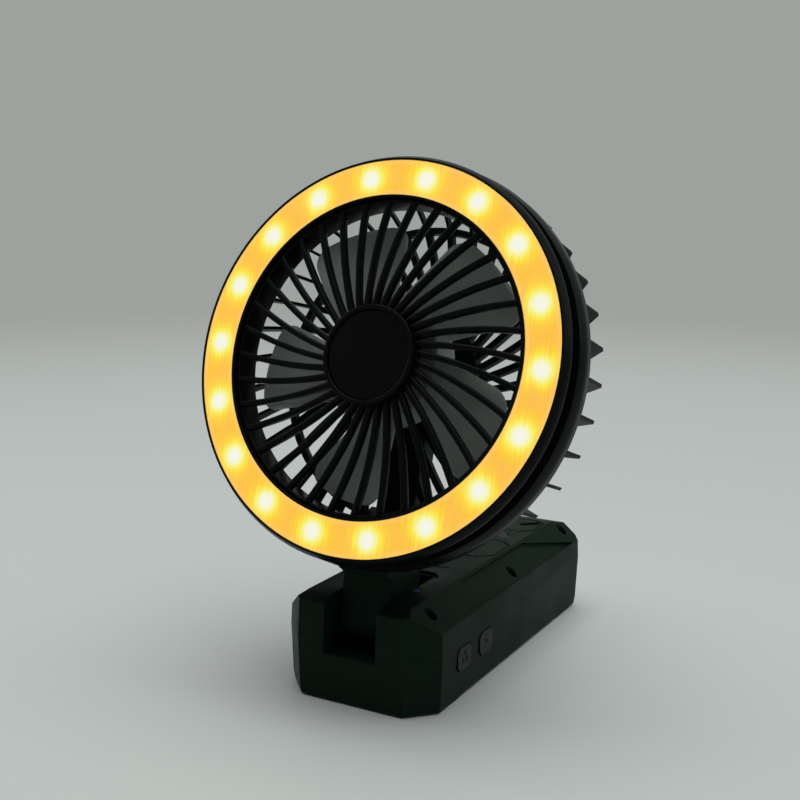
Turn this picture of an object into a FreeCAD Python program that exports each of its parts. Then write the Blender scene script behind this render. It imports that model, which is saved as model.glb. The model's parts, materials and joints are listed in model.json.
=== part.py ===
import FreeCAD, Part
import math
import os
from types import SimpleNamespace

import Sketcher

# Every driving size of the camping fan, in millimetres, degrees and counts.
# The base stands on the plane z = 0 with its middle at the origin, and the fan faces -Y.
SIZES = {
    # Base housing
    "base_length": 163.0,
    "base_half_width": 36.0,
    "end_half_width": 24.4,
    "corner_run": 12.2,
    "base_height": 44.0,
    "end_face_height": 41.3,
    "front_slope_run": 8.0,
    "rear_slope_run": 12.2,
    "rear_corner": 2.5,
    "side_face_height": 33.7,
    "top_half_width": 24.0,
    "parting_height": 25.0,
    "side_draft": 0.8,
    "bevel_height": 4.6,
    "bevel_inset": 1.4,
    "base_wall": 2.2,
    # Rubber feet
    "foot_drop": 1.0,
    "foot_thickness": 1.6,
    "foot_inner_side": 25.0,
    "foot_outer_side": 34.0,
    "foot_length": 18.0,
    "foot_front_setback": 13.5,
    "foot_rear_gap": 7.6,
    "middle_foot_radius": 6.0,
    # Slot that the arm swings in
    "slot_half_width": 12.25,
    "slot_floor": 20.7,
    "slot_length": 50.0,
    "slot_wall": 2.0,
    # Hinge of the arm
    "pivot_setback": 22.5,
    "knuckle_radius": 11.0,
    "knuckle_clearance": 0.6,
    "pin_radius": 3.0,
    "pin_clearance": 0.05,
    "pin_boss_wall": 3.0,
    "pin_boss_length": 6.0,
    "washer_radius": 8.0,
    "washer_thickness": 0.55,
    "arm_side_clearance": 0.9,
    # Case screws and their bosses
    "case_screw_radius": 1.3,
    "case_screw_head_radius": 2.3,
    "case_screw_head_height": 1.8,
    "case_screw_length": 14.0,
    "case_screw_seat": 6.0,
    "case_boss_radius": 3.8,
    "case_recess_radius": 2.6,
    "thread_clearance": 0.05,
    "front_screw_side": 28.3,
    "front_screw_setback": 15.7,
    "middle_screw_side": 30.2,
    "middle_screw_setback": 90.4,
    "rear_screw_side": 28.9,
    "rear_screw_setback": 154.6,
    # Moulded marks on the top and the shoulders
    "mark_width": 0.9,
    "mark_depth": 0.5,
    "mark_half_width": 23.4,
    "mark_end_half_width": 18.4,
    "mark_corner": 4.5,
    "middle_mark_front": 81.9,
    "middle_mark_rear": 109.0,
    "rear_mark_front": 127.1,
    "rear_mark_rear": 150.0,
    "arrow_side": 14.4,
    "arrow_front": 112.5,
    "arrow_width": 4.6,
    "arrow_length": 10.0,
    "notch_side": 17.2,
    "notch_setback": 142.6,
    "notch_length": 10.5,
    "notch_width": 4.2,
    "notch_depth": 1.3,
    "notch_turn": 44.0,
    "slot_relief_width": 3.4,
    "slot_relief_depth": 1.2,
    "slot_relief_front": 30.0,
    "slot_relief_corner": 4.0,
    "panel_depth": 1.5,
    "panel_front_setback": 50.4,
    "panel_front_lean": 12.5,
    "panel_rear_setback": 114.2,
    "panel_rear_lean": 40.5,
    "panel_lip": 1.0,
    "panel_top_gap": 1.4,
    # Push buttons and their board
    "button_width": 12.0,
    "button_height": 9.8,
    "button_corner": 2.0,
    "button_gap": 0.4,
    "icon_depth": 0.3,
    "icon_radius": 1.2,
    "icon_circle": 1.9,
    "icon_ray_radius": 0.4,
    "icon_ray_circle": 2.7,
    "button_proud": 0.5,
    "button_centre_height": 17.9,
    "fan_button_setback": 31.8,
    "light_button_setback": 52.4,
    "button_flange": 1.0,
    "button_flange_edge": 1.0,
    "button_travel": 0.7,
    "button_slack": 0.35,
    "button_board_thickness": 1.6,
    "button_board_length": 44.0,
    "button_board_height": 20.0,
    "switch_size": 6.0,
    "switch_height": 3.4,
    "plunger_radius": 1.7,
    "plunger_height": 0.5,
    # Battery
    "cell_radius": 9.1,
    "cell_length": 65.0,
    "cell_nub_radius": 2.8,
    "cell_nub_height": 0.8,
    "cell_pitch": 18.5,
    "cell_clearance": 0.1,
    "holder_thickness": 7.0,
    "holder_wall": 1.0,
    "holder_floor": 0.3,
    "holder_top_gap": 1.2,
    "tab_thickness": 0.3,
    "tab_margin": 3.0,
    "battery_end_gap": 6.0,
    # Main board and sockets
    "board_thickness": 1.6,
    "board_standoff": 6.0,
    "board_length": 33.6,
    "board_width": 44.0,
    "board_setback": 52.6,
    "board_wall_gap": 0.6,
    "standoff_radius": 2.4,
    "standoff_inset": 4.0,
    "standoff_reach": 17.5,
    "board_screw_radius": 1.0,
    "board_screw_head": 1.9,
    "board_screw_head_height": 1.2,
    "board_screw_length": 5.0,
    "usb_out_width": 13.2,
    "usb_out_height": 5.8,
    "usb_out_depth": 14.0,
    "usb_out_offset": 11.6,
    "usb_in_width": 9.0,
    "usb_in_height": 3.2,
    "usb_in_depth": 7.4,
    "usb_in_offset": 26.4,
    "socket_skin": 0.35,
    "socket_tongue": 1.4,
    "usb_in_tongue": 0.7,
    "socket_window_gap": 0.3,
    "choke_side": 8.0,
    "choke_height": 4.0,
    "capacitor_radius": 3.2,
    "capacitor_height": 8.0,
    "chip_side": 5.0,
    "chip_height": 1.0,
    "lead_radius": 0.9,
    # Charge light
    "indicator_radius": 1.2,
    "indicator_side": 15.8,
    "indicator_setback": 28.0,
    # Place of the head on the arm
    "head_tilt": 18.4,
    "pivot_depth": 41.4,
    "pivot_drop": 101.85,
    # Light ring
    "ring_outer_radius": 80.0,
    "ring_inner_radius": 65.5,
    "outer_lip": 1.3,
    "outer_flare": 1.1,
    "inner_lip": 1.0,
    "lip_front": 0.5,
    "ledge_width": 1.3,
    "diffuser_thickness": 1.8,
    "diffuser_clearance": 0.1,
    "front_band_depth": 4.4,
    "groove_depth": 2.0,
    "channel_floor": 8.4,
    "bezel_back": 11.0,
    "duct_back": 13.6,
    "led_board_thickness": 1.2,
    "led_board_margin": 0.4,
    "led_radius": 73.1,
    "led_count": 18,
    "led_side": 3.5,
    "led_height": 0.9,
    # Rear shell
    "rear_band_radius": 84.0,
    "rear_band_front_radius": 82.8,
    "rear_band_back": 22.4,
    "rear_band_wall": 2.4,
    "rear_flange": 2.0,
    "rear_band_crown": 4.0,
    "part_gap": 0.1,
    # Front grille
    "rib_count": 36,
    "rib_width": 2.4,
    "rib_front": 1.2,
    "rib_back": 4.6,
    "rib_start_angle": 3.5,
    "rib_sweep_radius": 165.0,
    "rib_rise": 5.0,
    "rib_flat_radius": 21.6,
    "hoop_wall": 1.5,
    "hoop_front": 1.6,
    "hub_ring_radius": 20.2,
    "hub_ring_wall": 1.9,
    "hub_ring_front": 2.2,
    "hub_ring_back": 5.0,
    "cap_front": 1.2,
    "cap_back": 2.5,
    "cap_clearance": 0.1,
    # Rear guard
    "fin_count": 36,
    "fin_start_angle": 1.6,
    "fin_width": 1.3,
    "rod_width": 2.6,
    "fin_radius": 83.2,
    "fin_depth": 37.9,
    "fin_root_radius": 79.2,
    "fin_sweep_radius": 165.0,
    "guard_back": 46.0,
    "guard_ring_radius": 63.0,
    "guard_ring_width": 2.8,
    "guard_ring_back": 45.0,
    "rod_thickness": 3.6,
    "guard_hub_radius": 28.0,
    "guard_hub_wall": 2.4,
    "guard_plate_front": 40.0,
    "guard_plate_thickness": 2.0,
    "lug_count": 6,
    "lug_radius": 3.8,
    "lug_circle": 76.0,
    "lug_back": 17.0,
    "lug_start_angle": 30.0,
    # Arm
    "arm_wall": 2.2,
    "spine_half_width": 8.5,
    "neck_front_depth": 28.3,
    "neck_front_drop": 86.3,
    "neck_foot_drop": 84.3,
    "neck_foot_top": 70.0,
    "neck_shoulder_drop": 58.0,
    "arm_split_depth": 44.0,
    "neck_split_drop": 90.3,
    "pod_radius": 25.4,
    "pod_back": 55.0,
    "pod_taper": 8.0,
    "arm_screw_radius": 1.2,
    "arm_screw_head_radius": 2.2,
    "arm_screw_head_height": 1.6,
    "arm_boss_radius": 3.2,
    "pod_screw_circle": 20.6,
    "neck_screw_drop": 78.0,
    # Motor
    "motor_radius": 17.5,
    "motor_front": 25.8,
    "motor_wall": 1.0,
    "bearing_radius": 4.0,
    "bearing_width": 2.4,
    "bearing_clearance": 0.04,
    "shaft_radius": 1.6,
    "shaft_clearance": 0.04,
    "shaft_front": 10.0,
    "shaft_back": 41.0,
    "rotor_radius": 8.5,
    "rotor_gap": 0.7,
    "stator_radius": 16.4,
    "winding_gap": 0.6,
    "motor_screw_count": 3,
    "motor_screw_circle": 12.0,
    "motor_screw_radius": 1.0,
    "motor_screw_head": 2.0,
    "motor_screw_head_height": 1.2,
    "driver_board_radius": 16.0,
    "driver_board_bore": 5.0,
    # Impeller
    "blade_count": 5,
    "blade_start_angle": 24.0,
    "blade_tip_radius": 58.5,
    "blade_tip_half_chord": 21.0,
    "blade_root_half_chord": 9.0,
    "blade_root_shift": 6.0,
    "blade_root_level": 17.0,
    "blade_front": 11.0,
    "blade_back": 22.0,
    "blade_thickness": 1.5,
    "blade_camber": 1.4,
    "blade_corner": 6.0,
    "impeller_hub_radius": 26.0,
    "impeller_hub_front": 7.5,
    "impeller_hub_back": 24.5,
    "impeller_wall": 2.0,
    "impeller_boss_radius": 4.5,
}

doc = FreeCAD.newDocument("camping_fan")
NODES = []


class Size:
    """A number together with the expression that reads it from the sheet."""

    def __init__(self, value, text):
        self.value = float(value)
        self.text = text

    def _join(self, other, sign, value):
        return Size(value, f"({self.text} {sign} {as_size(other).text})")

    def __add__(self, other):
        return self._join(other, "+", self.value + as_size(other).value)

    def __sub__(self, other):
        return self._join(other, "-", self.value - as_size(other).value)

    def __mul__(self, other):
        return self._join(other, "*", self.value * as_size(other).value)

    def __truediv__(self, other):
        return self._join(other, "/", self.value / as_size(other).value)

    def __radd__(self, other):
        return as_size(other) + self

    def __rsub__(self, other):
        return as_size(other) - self

    def __rmul__(self, other):
        return as_size(other) * self

    def __rtruediv__(self, other):
        return as_size(other) / self

    def __neg__(self):
        return as_size(0) - self


def as_size(number):
    """A plain number as a size; a size stays as it is."""
    return number if isinstance(number, Size) else Size(number, f"({number})")


def cosine(angle):
    """The cosine of a size in degrees."""
    return Size(math.cos(math.radians(angle.value)), f"cos({angle.text})")


def sine(angle):
    """The sine of a size in degrees."""
    return Size(math.sin(math.radians(angle.value)), f"sin({angle.text})")


def slope(rise, run):
    """The angle in degrees of a rise over a run."""
    angle = math.degrees(math.atan2(rise.value, run.value))
    return Size(angle, f"atan({rise.text} / {run.text})")


def root(square):
    """The square root of a size."""
    return Size(math.sqrt(square.value), f"sqrt({square.text})")


def fill_sheet():
    """The spreadsheet of driving sizes, and the same sizes by name."""
    sheet = doc.addObject("Spreadsheet::Sheet", "sizes")
    for row, (alias, number) in enumerate(SIZES.items(), start=1):
        sheet.set(f"A{row}", alias)
        sheet.set(f"B{row}", str(number))
        sheet.setAlias(f"B{row}", alias)
    doc.recompute()
    return SimpleNamespace(**{alias: Size(number, f"sizes.{alias}") for alias, number in SIZES.items()})


g = fill_sheet()


def bind(thing, path, size):
    """Tie a property of an object to the sheet."""
    thing.setExpression(path, as_size(size).text)


def bind_point(thing, path, point):
    """Tie the three coordinates of a place to the sheet."""
    for letter, size in zip("xyz", point):
        bind(thing, f"{path}.{letter}", size)


class Moulding:
    """One piece built as sketches and features in a body of its own."""

    def __init__(self, name):
        self.name = name
        self.body = doc.addObject("PartDesign::Body", name)
        self.origin = {item.Role: item for item in self.body.Origin.OriginFeatures}
        self.features = 0

    def _next(self, kind, word):
        self.features += 1
        return self.body.newObject(kind, f"{self.name}_{word}_{self.features}")

    def sketch(self, plane, place=(0, 0, 0), turn_axis=None, turn=None):
        """An empty sketch on an origin plane, moved and turned by sizes."""
        drawing = self._next("Sketcher::SketchObject", "sketch")
        drawing.AttachmentSupport = [(self.origin[plane], "")]
        drawing.MapMode = "FlatFace"
        if turn is not None:
            spin = FreeCAD.Rotation(FreeCAD.Vector(*turn_axis), turn.value)
            drawing.AttachmentOffset = FreeCAD.Placement(FreeCAD.Vector(), spin)
            bind(drawing, "AttachmentOffset.Rotation.Angle", turn)
        bind_point(drawing, "AttachmentOffset.Base", place)
        return drawing

    def outline(self, plane, *polygons, **where):
        """A sketch of closed polygons with every corner tied to the sheet."""
        drawing = self.sketch(plane, **where)
        for corners in polygons:
            add_polygon(drawing, corners)
        return drawing

    def disc(self, plane, radius, centre=(0, 0), **where):
        """A sketch of one circle."""
        drawing = self.sketch(plane, **where)
        add_circle(drawing, radius, centre)
        return drawing

    def pad(self, drawing, length, back=False, both_sides=False, taper=None):
        """Material raised from a sketch."""
        return self._extrude("PartDesign::Pad", drawing, length, back, both_sides, taper)

    def pocket(self, drawing, length, back=False, both_sides=False, taper=None):
        """Material cut away below a sketch."""
        return self._extrude("PartDesign::Pocket", drawing, length, back, both_sides, taper)

    def _extrude(self, kind, drawing, length, back, both_sides, taper):
        feature = self._next(kind, kind.split("::")[1].lower())
        feature.Profile = drawing
        bind(feature, "Length", length)
        feature.Reversed = back
        if both_sides:
            feature.SideType = "Symmetric"
        if taper is not None:
            bind(feature, "TaperAngle", taper)
        return feature

    def revolve(self, drawing):
        """Material turned about the sketch's own horizontal axis."""
        return self._turn("PartDesign::Revolution", drawing)

    def groove(self, drawing):
        """Material turned away about the sketch's own horizontal axis."""
        return self._turn("PartDesign::Groove", drawing)

    def _turn(self, kind, drawing):
        feature = self._next(kind, kind.split("::")[1].lower())
        feature.Profile = drawing
        feature.ReferenceAxis = (drawing, ["H_Axis"])
        feature.Angle = 360
        return feature

    def loft(self, *drawings):
        """Material between sketches, with straight rulings."""
        feature = self._next("PartDesign::AdditiveLoft", "loft")
        feature.Profile = drawings[0]
        feature.Sections = list(drawings[1:])
        feature.Ruled = True
        return feature

    def repeat_round(self, features, count, axis="Y_Axis"):
        """Features repeated evenly about an origin axis."""
        pattern = self._next("PartDesign::PolarPattern", "pattern")
        pattern.Originals = list(features)
        pattern.Axis = (self.origin[axis], [""])
        pattern.Angle = 360
        bind(pattern, "Occurrences", count)
        self.body.Tip = pattern
        return pattern


def add_polygon(drawing, corners):
    """A closed run of straight lines through corners that the sheet places."""
    points = [(as_size(x), as_size(y)) for x, y in corners]
    first = drawing.GeometryCount
    count = len(points)
    for index, (x, y) in enumerate(points):
        next_x, next_y = points[(index + 1) % count]
        start = FreeCAD.Vector(x.value, y.value, 0)
        end = FreeCAD.Vector(next_x.value, next_y.value, 0)
        drawing.addGeometry(Part.LineSegment(start, end), False)
    for index in range(count):
        after = first + (index + 1) % count
        drawing.addConstraint(Sketcher.Constraint("Coincident", first + index, 2, after, 1))
    for index, (x, y) in enumerate(points):
        place_point(drawing, first + index, 1, x, y)


def place_point(drawing, line, end, x, y):
    """Hold one point of a sketch at sizes measured from its origin."""
    for kind, size in (("DistanceX", x), ("DistanceY", y)):
        index = drawing.addConstraint(Sketcher.Constraint(kind, -1, 1, line, end, size.value))
        bind(drawing, f"Constraints[{index}]", size)


def add_circle(drawing, radius, centre):
    """A circle whose centre and radius the sheet gives."""
    x, y = (as_size(number) for number in centre)
    middle = FreeCAD.Vector(x.value, y.value, 0)
    circle = drawing.addGeometry(Part.Circle(middle, FreeCAD.Vector(0, 0, 1), radius.value), False)
    place_point(drawing, circle, 3, x, y)
    index = drawing.addConstraint(Sketcher.Constraint("Radius", circle, radius.value))
    bind(drawing, f"Constraints[{index}]", radius)


def add_swept_strip(drawing, centre, middle_radius, width, inner, outer):
    """A strip between two arcs about one centre, from x = inner to x = outer."""
    hub_x, hub_y = centre
    above = 1 if hub_y.value < 0 else -1
    radii = (middle_radius + width / 2, middle_radius - width / 2)
    ends = []
    for radius in radii:
        corners = []
        for x in (inner, outer):
            run = x.value - hub_x.value
            y = hub_y.value + above * math.sqrt(radius.value**2 - run**2)
            corners.append(FreeCAD.Vector(x.value, y, 0))
        ends.append(corners)
    arcs = []
    for radius, (near, far) in zip(radii, ends):
        hub = FreeCAD.Vector(hub_x.value, hub_y.value, 0)
        low, high = sorted(math.atan2(point.y - hub.y, point.x - hub.x) for point in (near, far))
        circle = Part.Circle(hub, FreeCAD.Vector(0, 0, 1), radius.value)
        arc = drawing.addGeometry(Part.ArcOfCircle(circle, low, high), False)
        arcs.append(arc)
        place_point(drawing, arc, 3, hub_x, hub_y)
        index = drawing.addConstraint(Sketcher.Constraint("Radius", arc, radius.value))
        bind(drawing, f"Constraints[{index}]", radius)
    far_end, near_end = (1, 2) if above > 0 else (2, 1)
    for end, side, x in ((near_end, 0, inner), (far_end, 1, outer)):
        line = drawing.addGeometry(Part.LineSegment(ends[0][side], ends[1][side]), False)
        drawing.addConstraint(Sketcher.Constraint("Coincident", line, 1, arcs[0], end))
        drawing.addConstraint(Sketcher.Constraint("Coincident", line, 2, arcs[1], end))
        drawing.addConstraint(Sketcher.Constraint("Vertical", line))
        index = drawing.addConstraint(Sketcher.Constraint("DistanceX", -1, 1, line, 1, x.value))
        bind(drawing, f"Constraints[{index}]", x)


def box(name, low, high):
    """A block between its low and high corners."""
    block = doc.addObject("Part::Box", name)
    for side, start, stop in zip(("Length", "Width", "Height"), low, high):
        bind(block, side, as_size(stop) - start)
    bind_point(block, "Placement.Base", low)
    return block


ROD_TURNS = {"x": ((0, 1, 0), 90), "y": ((-1, 0, 0), 90), "z": ((0, 0, 1), 0)}


def rod(name, radius, length, start, axis="z"):
    """A cylinder from its start point along +X, +Y or +Z."""
    round_bar = doc.addObject("Part::Cylinder", name)
    bind(round_bar, "Radius", radius)
    bind(round_bar, "Height", length)
    turn_axis, turn = ROD_TURNS[axis]
    spin = FreeCAD.Rotation(FreeCAD.Vector(*turn_axis), turn)
    round_bar.Placement = FreeCAD.Placement(FreeCAD.Vector(), spin)
    bind_point(round_bar, "Placement.Base", start)
    return round_bar


def fuse(name, parts):
    """Several solids joined into one."""
    joined = doc.addObject("Part::MultiFuse", name)
    joined.Shapes = list(parts)
    return joined


def cut(name, base, tools):
    """A solid with others cut away from it."""
    carved = doc.addObject("Part::Cut", name)
    carved.Base = base
    carved.Tool = tools[0] if len(tools) == 1 else fuse(f"{name}_tools", tools)
    return carved


def common(name, first, second):
    """What two solids share."""
    shared = doc.addObject("Part::Common", name)
    shared.Base = first
    shared.Tool = second
    return shared


def group(name, parts):
    """Separate solids that share one node."""
    bundle = doc.addObject("Part::Compound", name)
    bundle.Links = list(parts)
    return bundle


def tube(name, outer, inner, length, start, axis):
    """A ring or sleeve."""
    skin = rod(f"{name}_outer", outer, length, start, axis)
    bore = rod(f"{name}_bore", inner, length, start, axis)
    return cut(name, skin, [bore])


def node(label, shape):
    """Name a finished piece as a node of the part."""
    shape.Label = label
    NODES.append(shape)
    return shape


# Places that many pieces share

front = -g.base_length / 2
pivot_y = front + g.pivot_setback
pivot_z = g.slot_floor + g.knuckle_radius + g.knuckle_clearance
arm_half_width = g.slot_half_width - g.arm_side_clearance
floor_top = g.foot_drop + g.base_wall
head_y = pivot_y - (g.pivot_depth * cosine(g.head_tilt) - g.pivot_drop * sine(g.head_tilt))
head_z = pivot_z + g.pivot_depth * sine(g.head_tilt) + g.pivot_drop * cosine(g.head_tilt)


def head_node(label, shape):
    """Name a piece of the head, built about the middle of the light ring, and tilt it into place."""
    spin = FreeCAD.Rotation(FreeCAD.Vector(-1, 0, 0), g.head_tilt.value)
    shape.Placement = FreeCAD.Placement(FreeCAD.Vector(), spin)
    bind(shape, "Placement.Rotation.Angle", g.head_tilt)
    bind_point(shape, "Placement.Base", (0, head_y, head_z))
    return node(label, shape)


# Base housing


def corner_cut(inset, side_run, end_run):
    """Where a cut corner meets the end face and the side face once both are drawn in."""
    slant = root(side_run * side_run + end_run * end_run)
    end_side = g.base_half_width - side_run + inset * (side_run - slant) / end_run
    side_end = g.base_length / 2 - end_run + inset * (end_run - slant) / side_run
    return end_side, side_end


def plan(inset):
    """The plan of the base, with wide cut corners in front, drawn in by an even inset."""
    side = g.base_half_width - inset
    end = g.base_length / 2 - inset
    rear_x, rear_y = corner_cut(inset, g.rear_corner, g.rear_corner)
    front_x, front_y = corner_cut(inset, g.base_half_width - g.end_half_width, g.corner_run)
    right = [(rear_x, end), (side, rear_y), (side, -front_y), (front_x, -end)]
    return right + [(-x, y) for x, y in reversed(right)]


def housing(name, inset):
    """The faceted block of the base; the inset turns it into the space inside."""
    block = Moulding(name)
    inset = as_size(inset)
    levels = [
        (g.foot_drop + inset, inset + g.bevel_inset),
        (g.bevel_height + inset / 2, inset + g.side_draft),
        (g.parting_height, inset),
        (g.base_height - inset, inset + g.side_draft),
    ]
    drawings = [block.outline("XY_Plane", plan(step), place=(0, 0, level)) for level, step in levels]
    block.loft(*drawings)
    reach = g.base_wall * 4
    side_rise = g.base_height - g.side_face_height
    side_run = g.base_half_width - g.top_half_width
    side_drop = inset * root(side_rise * side_rise + side_run * side_run) / side_run
    low = g.side_face_height - side_drop - reach * side_rise / side_run
    high = g.base_height - side_drop + reach * side_rise / side_run
    wedge = [
        (g.base_half_width + reach, low),
        (g.base_half_width + reach, high),
        (g.top_half_width - reach, high),
    ]
    mirrored = [(-x, z) for x, z in wedge]
    shoulders = block.outline("XZ_Plane", wedge, mirrored)
    block.pocket(shoulders, g.base_length * 2, both_sides=True)
    wedges = [
        end_wedge(inset, reach, g.rear_slope_run, 1),
        end_wedge(inset, reach, g.front_slope_run, -1),
    ]
    ends = block.outline("YZ_Plane", *wedges)
    block.pocket(ends, g.base_half_width * 4, both_sides=True)
    return block.body


def end_wedge(inset, reach, run, side):
    """The wedge that slopes the top down to one end face."""
    rise = g.base_height - g.end_face_height
    drop = inset * root(rise * rise + run * run) / run
    low = g.end_face_height - drop - reach * rise / run
    high = g.base_height - drop + reach * rise / run
    end = g.base_length / 2
    return [(side * (end + reach), low), (side * (end + reach), high), (side * (end - run - reach), high)]


def screw_places():
    """The six case screws: front, middle and rear on each side."""
    rows = [
        (g.front_screw_side, front + g.front_screw_setback),
        (g.middle_screw_side, front + g.middle_screw_setback),
        (g.rear_screw_side, front + g.rear_screw_setback),
    ]
    return [(sign * x, y) for x, y in rows for sign in (1, -1)]


def side_at(height):
    """How far out the side wall is at a height below the parting line."""
    fall = g.side_draft * (g.parting_height - height) / (g.parting_height - g.bevel_height)
    return g.base_half_width - fall


BUTTONS = {"fan_button": g.fan_button_setback, "light_button": g.light_button_setback}
board_low_x = -(side_at(g.button_centre_height) - g.base_wall - g.board_wall_gap)
board_front_y = front + g.board_setback
board_top = floor_top + g.board_standoff + g.board_thickness


def board_corners():
    """The four places where the main board is screwed down."""
    xs = (board_low_x + g.standoff_reach, board_low_x + g.board_width - g.standoff_inset)
    ys = (board_front_y + g.standoff_inset, board_front_y + g.board_length - g.standoff_inset)
    return [(x, y) for x in xs for y in ys]


def socket_blocks():
    """Width, height and place along the base of the two sockets."""
    return {
        "usb_out": (g.usb_out_width, g.usb_out_height, g.usb_out_depth, board_front_y + g.usb_out_offset),
        "usb_in": (g.usb_in_width, g.usb_in_height, g.usb_in_depth, board_front_y + g.usb_in_offset),
    }


def button_face(setback, grow):
    """The eight-cornered face of a push button, grown by a gap on every side."""
    middle = front + setback
    half = g.button_width / 2 + grow
    rise = g.button_height / 2 + grow
    corner = g.button_corner
    level = g.button_centre_height
    right = [(half, rise - corner), (half - corner, rise)]
    top = right + [(-y, z) for y, z in reversed(right)]
    return [(middle + y, level + z) for y, z in top + [(-y, -z) for y, z in top]]


def hinge_bosses():
    """Round bosses on both slot walls that hold the ends of the hinge pin."""
    radius = g.pin_radius + g.pin_boss_wall
    starts = (g.slot_half_width, -(g.slot_half_width + g.slot_wall + g.pin_boss_length))
    length = g.slot_wall + g.pin_boss_length
    return [rod(f"pin_boss_{i}", radius, length, (x, pivot_y, pivot_z), "x") for i, x in enumerate(starts)]


def build_housing():
    """The base housing, split at its parting line into the top and bottom shells."""
    outer = housing("housing_outer", 0)
    inner = housing("housing_inner", g.base_wall)
    skin = cut("housing_skin", outer, [inner])
    slot_side = g.slot_half_width + g.slot_wall
    slot_end = front + g.slot_length
    trough = box(
        "slot_trough",
        (-slot_side, front, g.slot_floor - g.slot_wall),
        (slot_side, slot_end + g.slot_wall, g.base_height),
    )
    bosses = [
        rod(f"case_boss_{i}", g.case_boss_radius, g.base_height - g.foot_drop, (x, y, g.foot_drop))
        for i, (x, y) in enumerate(screw_places())
    ]
    inside = fuse("housing_inside", [trough] + bosses)
    inside = common("housing_inside_trimmed", inside, outer)
    standoffs = [
        rod(f"standoff_{i}", g.standoff_radius, floor_top + g.board_standoff - g.foot_drop, (x, y, g.foot_drop))
        for i, (x, y) in enumerate(board_corners())
    ]
    solid = fuse("housing_solid", [skin, inside] + standoffs + hinge_bosses())
    carved = cut("housing_carved", solid, housing_cuts(slot_end))
    middle = g.parting_height
    wide = g.base_half_width * 2
    long = g.base_length
    lower = box("lower_half", (-wide, -long, -middle), (wide, long, middle))
    upper = box("upper_half", (-wide, -long, middle), (wide, long, g.base_height * 2))
    node("base_bottom_shell", common("bottom_shell", carved, lower))
    plain_top = common("top_shell_plain", carved, upper)
    node("base_top_shell", cut("top_shell", plain_top, top_marks()))


def housing_cuts(slot_end):
    """Everything cut through the housing: slot, hinge bore, screw holes, windows and foot seats."""
    spare = g.base_wall * 2
    cuts = [
        box(
            "slot_space",
            (-g.slot_half_width, front - spare, g.slot_floor),
            (g.slot_half_width, slot_end, g.base_height + spare),
        )
    ]
    bore_reach = g.slot_half_width + g.slot_wall + g.pin_boss_length - g.slot_wall / 2
    bore = g.pin_radius + g.pin_clearance
    cuts.append(rod("pin_bore", bore, bore_reach * 2, (-bore_reach, pivot_y, pivot_z), "x"))
    seat = g.parting_height + g.case_screw_seat
    for i, (x, y) in enumerate(screw_places()):
        cuts.append(rod(f"case_recess_{i}", g.case_recess_radius, g.base_height, (x, y, seat)))
        hole = g.case_screw_radius + g.thread_clearance
        low = seat - g.case_screw_length - g.thread_clearance
        cuts.append(rod(f"case_hole_{i}", hole, g.case_screw_length + spare, (x, y, low)))
    for i, (x, y) in enumerate(board_corners()):
        hole = g.board_screw_radius + g.thread_clearance
        low = board_top - g.board_screw_length - g.thread_clearance
        cuts.append(rod(f"standoff_hole_{i}", hole, g.board_screw_length + spare, (x, y, low)))
    for name, setback in BUTTONS.items():
        window = Moulding(f"{name}_window")
        face = window.outline("YZ_Plane", button_face(setback, g.button_gap), place=(0, 0, g.base_half_width / 2 + g.end_half_width / 2))
        window.pad(face, g.base_half_width)
        cuts.append(window.body)
    for name, (width, height, depth, middle) in socket_blocks().items():
        gap = g.socket_window_gap
        low = (-(g.base_half_width + spare), middle - width / 2 - gap, board_top - gap / 2)
        high = (board_low_x, middle + width / 2 + gap, board_top + height + gap)
        cuts.append(box(f"{name}_window", low, high))
    cuts += foot_blocks("foot_seat", g.part_gap)
    light = g.indicator_radius + g.part_gap
    place = (g.indicator_side, front + g.indicator_setback, g.base_height - g.base_wall * 2)
    cuts.append(rod("indicator_hole", light, g.base_wall * 3, place))
    return cuts


def both_sides(corners):
    """A shape's right edge joined to its mirror image on the left."""
    return corners + [(-x, y) for x, y in reversed(corners)]


def hexagon_line(name, start, stop):
    """A thin engraved line round a six-sided field on the flat top."""
    line = Moulding(name)
    outlines = []
    for inset in (as_size(0), g.mark_width):
        side = g.mark_half_width - inset
        end_side = g.mark_end_half_width - inset
        low = start + inset
        high = stop - inset
        corners = [(end_side, low), (side, low + g.mark_corner), (side, high - g.mark_corner), (end_side, high)]
        outlines.append(both_sides(corners))
    level = g.base_height - g.mark_depth
    line.pad(line.outline("XY_Plane", *outlines, place=(0, 0, level)), g.base_height)
    return line.body


def top_marks():
    """The shapes moulded into the top and the two sunken shoulder panels."""
    marks = [
        hexagon_line("middle_mark", front + g.middle_mark_front, front + g.middle_mark_rear),
        hexagon_line("rear_mark", front + g.rear_mark_front, front + g.rear_mark_rear),
    ]
    arrows = Moulding("arrows")
    start = front + g.arrow_front
    corners = [
        (g.arrow_side, start),
        (g.arrow_side + g.arrow_width, start + g.mark_width),
        (g.arrow_side, start + g.arrow_length),
    ]
    mirrored = [(-x, y) for x, y in corners]
    level = g.base_height - g.mark_depth
    arrows.pad(arrows.outline("XY_Plane", corners, mirrored, place=(0, 0, level)), g.base_height)
    notches = Moulding("notches")
    corners = notch_corners()
    mirrored = [(-x, y) for x, y in corners]
    level = g.base_height - g.notch_depth
    notches.pad(notches.outline("XY_Plane", corners, mirrored, place=(0, 0, level)), g.base_height)
    relief = Moulding("slot_relief")
    side = g.slot_half_width + g.slot_relief_width
    low = front + g.slot_relief_front
    high = front + g.slot_length + g.slot_wall
    corner = g.slot_relief_corner
    corners = [(side - corner, low), (side, low + corner), (side, high - corner), (side - corner, high)]
    level = g.base_height - g.slot_relief_depth
    relief.pad(relief.outline("XY_Plane", both_sides(corners), place=(0, 0, level)), g.base_height)
    return marks + [arrows.body, notches.body, relief.body] + shoulder_panels()


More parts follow.
